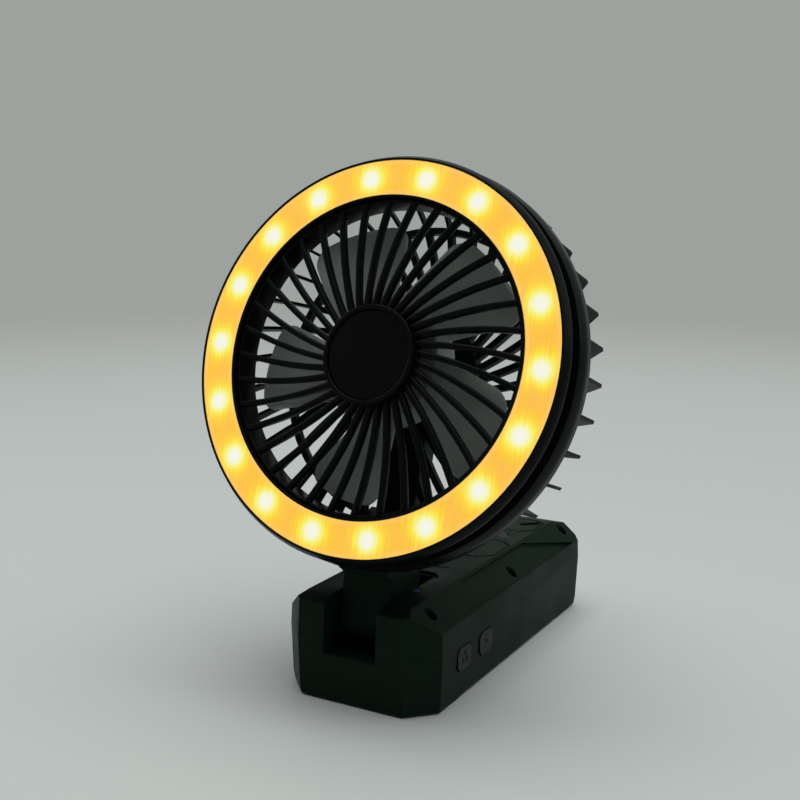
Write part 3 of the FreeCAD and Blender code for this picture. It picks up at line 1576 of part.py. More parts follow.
def blade_section(level, half_chord, shift):
    """The plan place of a blade's section at one distance from the axis."""
    lift = g.blade_thickness
    return [
        (half_chord - shift, g.blade_back),
        (-shift, (g.blade_front + g.blade_back) / 2 + g.blade_camber),
        (-half_chord - shift, g.blade_front),
        (-half_chord - shift, g.blade_front - lift),
        (-shift, (g.blade_front + g.blade_back) / 2 + g.blade_camber - lift),
        (half_chord - shift, g.blade_back - lift),
    ]


def build_impeller():
    """Five pitched blades on a cupped hub."""
    impeller = Moulding("fan")
    angle = g.blade_start_angle
    drawings = []
    for level, half_chord, shift in (
        (g.blade_root_level, g.blade_root_half_chord, g.blade_root_shift),
        (g.blade_tip_radius, g.blade_tip_half_chord, as_size(0)),
    ):
        place = (-level * sine(angle), 0, level * cosine(angle))
        corners = blade_section(level, half_chord, shift)
        drawings.append(impeller.outline("XY_Plane", corners, place=place, turn_axis=(0, -1, 0), turn=angle))
    blade = impeller.loft(*drawings)
    impeller.repeat_round([blade], g.blade_count)
    hub = g.impeller_hub_radius
    wall = g.impeller_wall
    bore = g.shaft_radius
    cavity = [
        (g.impeller_hub_front - hub, bore),
        (g.impeller_hub_front - hub, hub - wall),
        (g.impeller_hub_back + hub, hub - wall),
        (g.impeller_hub_back + hub, bore),
    ]
    impeller.groove(impeller.outline("YZ_Plane", cavity))
    tip = g.blade_tip_radius
    corner = g.blade_corner
    front_edge = g.blade_front - g.blade_thickness
    middle = (front_edge + g.blade_back) / 2
    beyond = tip * 1.5
    trim = [
        (front_edge - corner, beyond),
        (front_edge - corner, tip - corner * 1.5),
        (front_edge + corner * 0.1, tip - corner),
        (front_edge + corner * 0.35, tip - corner * 0.3),
        (middle - corner * 0.2, tip),
        (middle + corner * 0.2, tip),
        (g.blade_back - corner * 0.35, tip - corner * 0.3),
        (g.blade_back - corner * 0.1, tip - corner),
        (g.blade_back + corner, tip - corner * 1.5),
        (g.blade_back + corner, beyond),
    ]
    impeller.groove(impeller.outline("YZ_Plane", trim))
    section = [
        (g.impeller_hub_front, 0),
        (g.impeller_hub_front, hub - wall),
        (g.impeller_hub_front + wall, hub),
        (g.impeller_hub_back, hub),
        (g.impeller_hub_back, hub - wall),
        (g.impeller_hub_front + wall, hub - wall),
        (g.impeller_hub_front + wall, g.impeller_boss_radius),
        (g.impeller_hub_back, g.impeller_boss_radius),
        (g.impeller_hub_back, bore),
        (g.shaft_front, bore),
        (g.shaft_front, 0),
    ]
    impeller.revolve(impeller.outline("YZ_Plane", section))
    head_node("impeller", impeller.body)


def check_and_write():
    """Stop on any failed object, then write each node to its own file."""
    doc.recompute()
    failed = [item.Name for item in doc.Objects if {"Invalid", "Error"} & set(item.State)]
    if failed:
        raise SystemExit(f"failed objects: {failed}")
    os.makedirs("parts", exist_ok=True)
    for shape_object in NODES:
        shape = shape_object.Shape
        if shape.isNull() or not shape.isValid():
            raise SystemExit(f"bad shape: {shape_object.Label}")
    for shape_object in NODES:
        shape = shape_object.Shape
        shape.exportStep(f"parts/{shape_object.Label}.step")
        print(f"{shape_object.Label}: {len(shape.Solids)} solid(s), {shape.Volume / 1000:.2f} cm3")


build_housing()
build_base_small_parts()
build_buttons()
build_electronics(build_battery())
build_light_ring()
build_rear_shell()
build_front_grille()
build_rear_guard()
build_head_screws()
build_arm()
build_motor()
build_impeller()
check_and_write()
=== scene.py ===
import json
import logging
import math
from dataclasses import dataclass, field
from enum import Enum
from typing import ClassVar, Optional, Sequence, Union

import bmesh
import bpy
from mathutils import Matrix, Vector

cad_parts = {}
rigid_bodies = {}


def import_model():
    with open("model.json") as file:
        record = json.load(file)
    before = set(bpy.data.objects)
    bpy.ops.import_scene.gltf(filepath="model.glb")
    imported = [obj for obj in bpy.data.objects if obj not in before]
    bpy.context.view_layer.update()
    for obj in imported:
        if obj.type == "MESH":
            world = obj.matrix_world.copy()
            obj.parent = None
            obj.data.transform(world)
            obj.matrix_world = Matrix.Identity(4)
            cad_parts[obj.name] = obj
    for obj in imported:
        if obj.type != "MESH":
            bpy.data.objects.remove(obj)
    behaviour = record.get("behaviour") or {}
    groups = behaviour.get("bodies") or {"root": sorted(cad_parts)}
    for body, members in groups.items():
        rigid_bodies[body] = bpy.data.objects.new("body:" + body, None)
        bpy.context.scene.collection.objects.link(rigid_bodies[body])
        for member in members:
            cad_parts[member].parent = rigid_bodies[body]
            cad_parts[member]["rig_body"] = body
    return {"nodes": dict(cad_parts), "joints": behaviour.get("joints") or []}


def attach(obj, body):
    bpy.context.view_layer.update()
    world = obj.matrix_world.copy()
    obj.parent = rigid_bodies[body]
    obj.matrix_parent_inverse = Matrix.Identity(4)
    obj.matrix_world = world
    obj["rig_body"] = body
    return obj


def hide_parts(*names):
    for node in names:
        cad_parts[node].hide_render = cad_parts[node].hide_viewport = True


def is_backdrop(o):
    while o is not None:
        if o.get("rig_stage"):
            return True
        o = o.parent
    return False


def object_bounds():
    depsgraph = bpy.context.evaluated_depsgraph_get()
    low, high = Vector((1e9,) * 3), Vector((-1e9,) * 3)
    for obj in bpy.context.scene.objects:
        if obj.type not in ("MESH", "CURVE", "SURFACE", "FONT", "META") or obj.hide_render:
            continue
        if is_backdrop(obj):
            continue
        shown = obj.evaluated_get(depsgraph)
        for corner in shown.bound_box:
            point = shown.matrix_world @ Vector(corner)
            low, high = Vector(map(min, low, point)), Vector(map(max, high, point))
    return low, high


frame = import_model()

LOG = logging.getLogger("camping_fan")
MM = 0.001
JOINED = 0.001 * MM
ON_AXIS = 0.01 * MM
SMOOTH_ANGLE = math.radians(32)
FULL_TURN = 2 * math.pi
DISPLAY_TOE = 0.055
DISPLAY_GAMMA = 2.4
SOFT_DETAIL = 2.0
PATCH_DETAIL = 4.0
SPECK_DETAIL = 6.0

Mesh = bpy.types.Mesh
Thing = bpy.types.Object
Node = bpy.types.Node
Socket = bpy.types.NodeSocket
Sockets = bpy.types.bpy_prop_collection
Colour = tuple[float, float, float, float]
Span = tuple[float, float]
Feed = Union[Socket, float, Sequence[float]]
Profile = list[tuple[float, float]]


def paint(red: int, green: int, blue: int) -> Colour:
    """Turn a display colour into the linear colour that a shader takes.

    Args:
        red: Display red, 0 to 255.
        green: Display green, 0 to 255.
        blue: Display blue, 0 to 255.

    Returns:
        The linear colour with a full alpha.
    """
    parts = [(part / 255 + DISPLAY_TOE) / (1 + DISPLAY_TOE) for part in (red, green, blue)]
    linear = [part**DISPLAY_GAMMA for part in parts]
    return (linear[0], linear[1], linear[2], 1.0)


class Slot(Enum):
    """The material slots of the part's record."""

    HOUSING = "housing_plastic"
    BAND = "band_plastic"
    GRILLE = "grille_plastic"
    BLADE = "blade_plastic"
    BUTTON = "button_plastic"
    DIFFUSER = "diffuser_plastic"
    LAMP_BOARD = "lamp_board"
    LAMP_CHIP = "lamp_chip"
    RUBBER = "foot_rubber"
    SCREW = "screw_steel"
    PIN = "pin_steel"
    SHAFT = "shaft_steel"
    CAN = "can_steel"
    BEARING = "bearing_bronze"
    WINDING = "winding_copper"
    ROTOR = "rotor_iron"
    WASHER = "washer_nylon"
    CIRCUIT = "circuit_board"
    COMPONENT = "component_black"
    WRAP = "cell_wrap"
    HOLDER = "holder_plastic"
    STRIP = "strip_nickel"
    SOCKET = "socket_steel"
    LEAD = "lead_rubber"
    LIGHT_PIPE = "light_pipe"


@dataclass(frozen=True)
class HeadAxes:
    """The leaning frame of the round head: across, depth behind its face, and rise."""

    centre: Vector
    lean: float

    @classmethod
    def from_joint(cls, name: str) -> "HeadAxes":
        """Read the frame from the joint that the impeller turns on.

        Args:
            name: The joint's name in the record.

        Returns:
            The head's frame at rest.
        """
        joint = next(j for j in frame["joints"] if j["name"] == name)
        axis = Vector(joint["axis"])
        return cls(Vector(joint["pos_m"]), math.atan2(-axis.z, axis.y))

    def matrix(self) -> Matrix:
        """Place a shape given as across, depth and rise."""
        return Matrix.Translation(self.centre) @ Matrix.Rotation(-self.lean, 4, "X")

    def plan(self) -> Matrix:
        """Place a flat drawing whose x runs across, y rises and z comes forward."""
        return self.matrix() @ Matrix.Rotation(math.pi / 2, 4, "X")

    def rear(self) -> Matrix:
        """Place a shape whose z points to the back of the head."""
        return self.matrix() @ Matrix.Rotation(-math.pi / 2, 4, "X")


class Wiring:
    """Adds and links the nodes of one node tree."""

    def __init__(self, tree: bpy.types.NodeTree) -> None:
        """Keep the tree to wire."""
        self.tree = tree

    def feed(self, socket: Socket, value: Feed) -> None:
        """Link a socket, or set its value.

        Args:
            socket: The input to feed.
            value: Another node's output, a number or a vector.
        """
        if isinstance(value, Socket):
            self.tree.links.new(value, socket)
        else:
            socket.default_value = value

    def node(self, kind: str, inputs: Optional[dict] = None, **settings: object) -> Node:
        """Add a node.

        Args:
            kind: The node's type.
            inputs: What feeds each input, by name or number.
            **settings: The node's own settings.

        Returns:
            The new node.
        """
        made = self.tree.nodes.new(kind)
        for name, value in settings.items():
            setattr(made, name, value)
        for socket, value in (inputs or {}).items():
            self.feed(made.inputs[socket], value)
        return made

    def math(self, operation: str, *values: Feed) -> Socket:
        """Add a sum of numbers.

        Args:
            operation: The name of the sum.
            *values: Its terms in order.

        Returns:
            The result.
        """
        made = self.tree.nodes.new("ShaderNodeMath")
        made.operation = operation
        for socket, value in zip(made.inputs, values):
            self.feed(socket, value)
        return made.outputs[0]

    def blend(self, share: Feed, first: Feed, second: Feed) -> Socket:
        """Mix two colours.

        Args:
            share: How much of the second colour shows, 0 to 1.
            first: The first colour.
            second: The second colour.

        Returns:
            The mixed colour.
        """
        made = self.tree.nodes.new("ShaderNodeMix")
        made.data_type = "RGBA"
        for place, value in ((0, share), (6, first), (7, second)):
            self.feed(made.inputs[place], value)
        return made.outputs[2]

    def place(self) -> Socket:
        """Give the place on the piece, in metres."""
        return self.node("ShaderNodeTexCoord").outputs["Object"]

    def noise(self, scale: Feed, detail: float = 3.0, place: Optional[Feed] = None) -> Socket:
        """Add soft noise.

        Args:
            scale: Cells per metre.
            detail: Layers of finer noise.
            place: Where to read it, or the place on the piece.

        Returns:
            A value about 0.5.
        """
        where = self.place() if place is None else place
        made = self.node("ShaderNodeTexNoise", {"Vector": where, "Scale": scale, "Detail": detail})
        return made.outputs["Fac"]

    def ramp(self, value: Feed, low: Feed, high: Feed, start: Feed = 0.0, stop: Feed = 1.0) -> Socket:
        """Stretch a value smoothly from one range to another.

        Args:
            value: The value to stretch.
            low: Where the old range starts.
            high: Where the old range ends.
            start: Where the new range starts.
            stop: Where the new range ends.

        Returns:
            The stretched value, held inside the new range.
        """
        inputs = {0: value, 1: low, 2: high, 3: start, 4: stop}
        return self.node("ShaderNodeMapRange", inputs, interpolation_type="SMOOTHSTEP").outputs[0]


@dataclass(frozen=True)
class SharedEffect:
    """A shader node group that several finishes use with their own values."""

    label: str
    inputs: tuple[tuple[str, float], ...]
    outputs: tuple[tuple[str, str], ...]

    def tree(self) -> bpy.types.NodeTree:
        """Give the group, built at its first use."""
        known = bpy.data.node_groups.get(self.label)
        if known is not None:
            return known
        tree = bpy.data.node_groups.new(self.label, "ShaderNodeTree")
        for name, value in self.inputs:
            socket = tree.interface.new_socket(name, in_out="INPUT", socket_type="NodeSocketFloat")
            socket.default_value = value
        for name, kind in self.outputs:
            tree.interface.new_socket(name, in_out="OUTPUT", socket_type=kind)
        wiring = Wiring(tree)
        entry = wiring.node("NodeGroupInput")
        leave = wiring.node("NodeGroupOutput")
        for name, value in self.wire(wiring, entry.outputs).items():
            wiring.feed(leave.inputs[name], value)
        return tree

    def wire(self, wiring: Wiring, given: Sockets) -> dict[str, Feed]:
        """Wire the group's inside.

        Args:
            wiring: The group's own wiring.
            given: The group's inputs by name.

        Returns:
            What feeds each output, by name.
        """
        raise NotImplementedError

    def use(self, wiring: Wiring, **values: Feed) -> Sockets:
        """Place the group in a material.

        Args:
            wiring: The material's wiring.
            **values: The inputs by name, with _ for a space.

        Returns:
            The group's outputs by name.
        """
        named = {name.replace("_", " "): value for name, value in values.items()}
        return wiring.node("ShaderNodeGroup", named, node_tree=self.tree()).outputs


class Grain(SharedEffect):
    """The fine spark-eroded texture that the mould leaves."""

    FINE_SHARE = 0.7
    COARSE_SCALE = 0.25

    def wire(self, wiring: Wiring, given: Sockets) -> dict[str, Feed]:
        """Layer fine and coarse noise into a height."""
        fine = wiring.noise(wiring.math("DIVIDE", 1.0, given["Size"]), SOFT_DETAIL)
        coarse = wiring.noise(wiring.math("DIVIDE", self.COARSE_SCALE, given["Size"]), SOFT_DETAIL)
        small = wiring.math("MULTIPLY", fine, self.FINE_SHARE)
        large = wiring.math("MULTIPLY", coarse, 1 - self.FINE_SHARE)
        return {"Height": wiring.math("ADD", small, large)}


class EdgeWearAndHighlight(SharedEffect):
    """Soft, slightly rubbed edges; the same mask also lays a painted highlight along them."""

    BEND = (0.01, 0.22)
    PATCHES = (0.38, 0.62)

    def wire(self, wiring: Wiring, given: Sockets) -> dict[str, Feed]:
        """Compare a rounded normal with the plain one, and break the result up."""
        rounded = wiring.node("ShaderNodeBevel", {"Radius": given["Width"]}, samples=4).outputs["Normal"]
        plain = wiring.node("ShaderNodeNewGeometry").outputs["True Normal"]
        turn = wiring.node("ShaderNodeVectorMath", {0: rounded, 1: plain}, operation="DOT_PRODUCT")
        edge = wiring.ramp(wiring.math("SUBTRACT", 1.0, turn.outputs["Value"]), *self.BEND)
        noise = wiring.noise(wiring.math("DIVIDE", 1.0, given["Patch"]), PATCH_DETAIL)
        # The edge mask stands for rubbed wear and for a painted highlight along the edges alike.
        patch = wiring.ramp(noise, *self.PATCHES)
        return {"Mask": wiring.math("MULTIPLY", edge, patch), "Normal": rounded}


class Dust(SharedEffect):
    """A trace of dust on what faces up."""

    SPECKS = (0.5, 0.75)
    FACING_UP = (0.3, 1.0)
    ON_WALLS = 0.15

    def wire(self, wiring: Wiring, given: Sockets) -> dict[str, Feed]:
        """Take what faces up and break it into specks."""
        normal = wiring.node("ShaderNodeNewGeometry").outputs["Normal"]
        up = wiring.node("ShaderNodeSeparateXYZ", {0: normal}).outputs["Z"]
        noise = wiring.noise(wiring.math("DIVIDE", 1.0, given["Size"]), SPECK_DETAIL)
        specks = wiring.ramp(noise, *self.SPECKS)
        settled = wiring.ramp(up, *self.FACING_UP, self.ON_WALLS)
        return {"Mask": wiring.math("MULTIPLY", wiring.math("MULTIPLY", specks, settled), given["Amount"])}


class Mottle(SharedEffect):
    """A value that drifts a little over the surface."""

    SPREAD = (0.3, 0.7)

    def wire(self, wiring: Wiring, given: Sockets) -> dict[str, Feed]:
        """Stretch broad noise between two values."""
        noise = wiring.noise(wiring.math("DIVIDE", 1.0, given["Size"]), PATCH_DETAIL)
        return {"Value": wiring.ramp(noise, *self.SPREAD, given["Low"], given["High"])}


FLOAT = "NodeSocketFloat"
VECTOR = "NodeSocketVector"
GRAIN = Grain("mould grain", (("Size", 0.0004),), (("Height", FLOAT),))
WEAR_AND_HIGHLIGHT_INPUTS = (("Width", 0.0005), ("Patch", 0.012))
EDGE_WEAR_AND_HIGHLIGHT = EdgeWearAndHighlight("edge wear and painted highlight", WEAR_AND_HIGHLIGHT_INPUTS, (("Mask", FLOAT), ("Normal", VECTOR)))
DUST_TONE = paint(120, 124, 120)
DUST = Dust("dust", (("Size", 0.003), ("Amount", 0.3)), (("Mask", FLOAT),))
MOTTLE = Mottle("mottle", (("Size", 0.02), ("Low", 0.3), ("High", 0.5)), (("Value", FLOAT),))


@dataclass(frozen=True)
class Finish:
    """What every finish shares: a principled shader that its own wiring feeds."""

    def material(self, name: str) -> bpy.types.Material:
        """Make the material.

        Args:
            name: The slot's name.

        Returns:
            The new material.
        """
        made = bpy.data.materials.new(name)
        made.use_nodes = True
        made.node_tree.nodes.clear()
        wiring = Wiring(made.node_tree)
        shader = wiring.node("ShaderNodeBsdfPrincipled")
        output = wiring.node("ShaderNodeOutputMaterial")
        wiring.feed(output.inputs["Surface"], shader.outputs["BSDF"])
        self.dress(wiring, shader)
        return made

    def dress(self, wiring: Wiring, shader: Node) -> None:
        """Feed the shader.

        Args:
            wiring: The material's wiring.
            shader: The principled shader.
        """
        raise NotImplementedError

    @staticmethod
    def drift(wiring: Wiring, shader: Node, gloss: Span, size: float = 0.02) -> None:
        """Let the roughness drift over the surface.

        Args:
            wiring: The material's wiring.
            shader: The principled shader.
            gloss: The least and the greatest roughness.
            size: How broad the patches are.
        """
        patches = MOTTLE.use(wiring, Size=size, Low=gloss[0], High=gloss[1])
        wiring.feed(shader.inputs["Roughness"], patches["Value"])


@dataclass(frozen=True)
class Moulded(Finish):
    """A moulded plastic or rubber."""

    colour: Colour
    worn_and_highlit_edge: Colour
    smoothest: float = 0.34
    roughest: float = 0.46
    grain: float = 0.00035
    grain_height: float = 0.00002
    edge: float = 0.0005
    dust: float = 0.12
    shine: float = 0.28

    def dress(self, wiring: Wiring, shader: Node) -> None:
        """Give the plastic its rubbed edges, lightened partly as a painted highlight, its dust, grain and
        drifting gloss.
        """
        wear_and_highlight = EDGE_WEAR_AND_HIGHLIGHT.use(wiring, Width=self.edge)
        dust = DUST.use(wiring, Amount=self.dust)
        # The lighter edge tone is partly rubbed wear and partly a painted highlight on the edges.
        rubbed_and_highlit = wiring.blend(wear_and_highlight["Mask"], self.colour, self.worn_and_highlit_edge)
        wiring.feed(shader.inputs["Base Color"], wiring.blend(dust["Mask"], rubbed_and_highlit, DUST_TONE))
        self.drift(wiring, shader, (self.smoothest, self.roughest))
        inputs = {
            "Height": GRAIN.use(wiring, Size=self.grain)["Height"],
            "Distance": self.grain_height,
            "Strength": 1.0,
            "Normal": wear_and_highlight["Normal"],
        }
        wiring.feed(shader.inputs["Normal"], wiring.node("ShaderNodeBump", inputs).outputs["Normal"])
        shader.inputs["Specular IOR Level"].default_value = self.shine


@dataclass(frozen=True)
class Metal(Finish):
    """A plain or plated metal."""

    colour: Colour
    dull: Colour
    smoothest: float = 0.22
    roughest: float = 0.4
    edge: float = 0.0002
    patch_size: float = 0.006
    gloss_size: float = 0.002

    def dress(self, wiring: Wiring, shader: Node) -> None:
        """Give the metal dull patches and a finely drifting gloss."""
        patch = MOTTLE.use(wiring, Size=self.patch_size, Low=0.0, High=1.0)
        wiring.feed(shader.inputs["Base Color"], wiring.blend(patch["Value"], self.colour, self.dull))
        self.drift(wiring, shader, (self.smoothest, self.roughest), self.gloss_size)
        wiring.feed(shader.inputs["Normal"], EDGE_WEAR_AND_HIGHLIGHT.use(wiring, Width=self.edge)["Normal"])
        shader.inputs["Metallic"].default_value = 1.0


@dataclass(frozen=True)
class Smoked(Finish):
    """The smoky plastic of the blades, which lets a little light through."""

    colour: Colour
    shade: Colour
    flow_size: float = 0.03
    gloss: Span = (0.28, 0.4)
    gloss_size: float = 0.01
    milkiness: float = 0.35
    depth: float = 4 * MM

    def dress(self, wiring: Wiring, shader: Node) -> None:
        """Give the blades a soft, even body with faint flow marks."""
        flow = MOTTLE.use(wiring, Size=self.flow_size, Low=0.0, High=1.0)
        wiring.feed(shader.inputs["Base Color"], wiring.blend(flow["Value"], self.colour, self.shade))
        self.drift(wiring, shader, self.gloss, self.gloss_size)
        shader.inputs["Subsurface Weight"].default_value = self.milkiness
        shader.inputs["Subsurface Radius"].default_value = (self.depth,) * 3
        shader.inputs["Subsurface Scale"].default_value = 1.0


@dataclass(frozen=True)
class Lit(Finish):
    """The milky ring over the lamps, bright above each lamp and streaked up and down."""

    HALO = (
        (0.0, paint(242, 244, 242)),
        (0.12, paint(244, 245, 222)),
        (0.18, paint(245, 245, 179)),
        (0.23, paint(246, 243, 126)),
        (0.28, paint(248, 236, 84)),
        (0.33, paint(250, 226, 60)),
        (0.38, paint(251, 215, 51)),
        (0.46, paint(252, 204, 53)),
        (0.56, paint(252, 196, 56)),
        (1.0, paint(252, 190, 64)),
    )
    RIM_TONE = paint(255, 208, 120)
    DEEP_TONE = paint(250, 180, 98)
    UNLIT = (paint(60, 40, 12), paint(74, 52, 18))

    axes: HeadAxes
    lamp_radius: float
    lamp_count: int
    spread_across: float
    spread_up: float
    low_radius: float
    high_radius: float
    reach: float = 4.0
    strength: float = 0.97
    streak_scale: float = 1500.0
    streak_squeeze: float = 0.04
    streak_lift: float = 0.6
    streak_range: tuple[float, ...] = (0.42, 0.66, 0.0, 0.5)
    streak_fade: Span = (0.5, 1.7)
    rim_range: Span = (0.8 * MM, 0.2 * MM)
    rim_share: float = 0.4
    gloss: Span = (0.42, 0.55)
    gloss_size: float = 0.01

    def dress(self, wiring: Wiring, shader: Node) -> None:
        """Light the ring from the distance to its nearest lamp."""
        turn = (-self.axes.lean, 0.0, 0.0)
        inputs = {"Vector": wiring.place(), "Location": self.axes.centre, "Rotation": turn}
        local = wiring.node("ShaderNodeMapping", inputs, vector_type="TEXTURE").outputs[0]
        part = wiring.node("ShaderNodeSeparateXYZ", {0: local}).outputs
        distance = self.from_lamp(wiring, part["X"], part["Z"])
        squeezed = wiring.math("MULTIPLY", part["Z"], self.streak_squeeze)
        streak_place = wiring.node("ShaderNodeCombineXYZ", {"X": part["X"], "Z": squeezed})
        streak = wiring.noise(self.streak_scale, SOFT_DETAIL, streak_place.outputs[0])
        lift = wiring.math("MULTIPLY", wiring.math("SUBTRACT", streak, 0.5), self.streak_lift)
        glow = wiring.math("DIVIDE", wiring.math("ADD", distance, lift), self.reach)
        rim = wiring.math("MULTIPLY", self.near_rim(wiring, part["X"], part["Z"]), self.rim_share)
        edged = wiring.blend(rim, self.halo(wiring, glow), self.RIM_TONE)
        fade = wiring.ramp(distance, *self.streak_fade)
        deep = wiring.math("MULTIPLY", wiring.ramp(streak, *self.streak_range), fade)
        wiring.feed(shader.inputs["Emission Color"], wiring.blend(deep, edged, self.DEEP_TONE))
        shader.inputs["Emission Strength"].default_value = self.strength
        wiring.feed(shader.inputs["Base Color"], wiring.blend(streak, *self.UNLIT))
        self.drift(wiring, shader, self.gloss, self.gloss_size)

    def from_lamp(self, wiring: Wiring, across: Socket, rise: Socket) -> Socket:
        """Measure how far a place on the ring is from its nearest lamp.

        Args:
            wiring: The material's wiring.
            across: The place across the head.
            rise: The place up the head.

        Returns:
            The distance, in spreads of a halo.
        """
        angle = wiring.math("ARCTAN2", rise, across)
        half_step = math.pi / self.lamp_count
        lamp = wiring.math("SUBTRACT", angle, wiring.math("WRAP", angle, half_step, -half_step))
        parts = []
        for place, side, spread in ((across, "COSINE", self.spread_across), (rise, "SINE", self.spread_up)):
            lamp_place = wiring.math("MULTIPLY", wiring.math(side, lamp), self.lamp_radius)
            parts.append(wiring.math("DIVIDE", wiring.math("SUBTRACT", place, lamp_place), spread))
        return self.length(wiring, *parts)

    def near_rim(self, wiring: Wiring, across: Socket, rise: Socket) -> Socket:
        """Find the ring's two rims.

        Args:
            wiring: The material's wiring.
            across: The place across the head.
            rise: The place up the head.

        Returns:
            A value that rises to 1 at each rim.
        """
        middle = (self.low_radius + self.high_radius) / 2
        half = (self.high_radius - self.low_radius) / 2
        off = wiring.math("SUBTRACT", self.length(wiring, across, rise), middle)
        start, stop = (half - inset for inset in self.rim_range)
        return wiring.ramp(wiring.math("ABSOLUTE", off), start, stop)

    def halo(self, wiring: Wiring, glow: Socket) -> Socket:
        """Colour a halo from its middle outwards.

        Args:
            wiring: The material's wiring.
            glow: How far out a place is, 0 to 1.

        Returns:
            The halo's colour.
        """
        shade = wiring.node("ShaderNodeValToRGB", {0: glow})
        points = shade.color_ramp.elements
        for place, colour in self.HALO[1:-1]:
            points.new(place).color = colour
        points[0].color = self.HALO[0][1]
        points[-1].color = self.HALO[-1][1]
        return shade.outputs["Color"]

    @staticmethod
    def length(wiring: Wiring, first: Feed, second: Feed) -> Socket:
        """Give the length of two parts at right angles."""
        squares = [wiring.math("MULTIPLY", part, part) for part in (first, second)]
        return wiring.math("SQRT", wiring.math("ADD", *squares))


@dataclass(frozen=True)
class Laminate(Finish):
    """A circuit board with its copper tracks under lacquer."""

    lacquer: Colour
    track: Colour
    cells: float = 260.0
    line_range: Span = (0.34, 0.42)
    gloss: Span = (0.2, 0.34)
    gloss_size: float = 0.008

    def dress(self, wiring: Wiring, shader: Node) -> None:
        """Draw square tracks under glossy lacquer."""
        inputs = {"Vector": wiring.place(), "Scale": self.cells}
        cells = wiring.node("ShaderNodeTexVoronoi", inputs, distance="CHEBYCHEV", feature="F1")
        line = wiring.ramp(cells.outputs["Distance"], *self.line_range)
        wiring.feed(shader.inputs["Base Color"], wiring.blend(line, self.lacquer, self.track))
        self.drift(wiring, shader, self.gloss, self.gloss_size)


@dataclass(frozen=True)
class Film(Finish):
    """The shrink film round the battery cells."""

    colour: Colour
    ring: Colour
    bands: float = 95.0
    band_range: Span = (0.9, 0.97)
    gloss: Span = (0.25, 0.4)
    gloss_size: float = 0.004

    def dress(self, wiring: Wiring, shader: Node) -> None:
        """Band the film and let its gloss drift."""
        part = wiring.node("ShaderNodeSeparateXYZ", {0: wiring.place()}).outputs
        wave = wiring.math("SINE", wiring.math("MULTIPLY", part["Y"], self.bands))
        band = wiring.ramp(wave, *self.band_range)
        wiring.feed(shader.inputs["Base Color"], wiring.blend(band, self.colour, self.ring))
        self.drift(wiring, shader, self.gloss, self.gloss_size)


@dataclass(frozen=True)
class Clear(Finish):
    """The small tinted light pipe."""

    colour: Colour
    glow: Colour
    cloud_scale: float = 600.0
    cloud_range: Span = (0.3, 0.7)
    strength: float = 0.12
    roughness: float = 0.12
    coat: float = 0.4

    def dress(self, wiring: Wiring, shader: Node) -> None:
        """Tint the pipe and let it glow faintly."""
        cloud = wiring.ramp(wiring.noise(self.cloud_scale, SOFT_DETAIL), *self.cloud_range)
        wiring.feed(shader.inputs["Base Color"], wiring.blend(cloud, self.colour, self.glow))
        wiring.feed(shader.inputs["Emission Color"], wiring.blend(cloud, self.glow, self.colour))
        shader.inputs["Emission Strength"].default_value = self.strength
        shader.inputs["Roughness"].default_value = self.roughness
        shader.inputs["Coat Weight"].default_value = self.coat


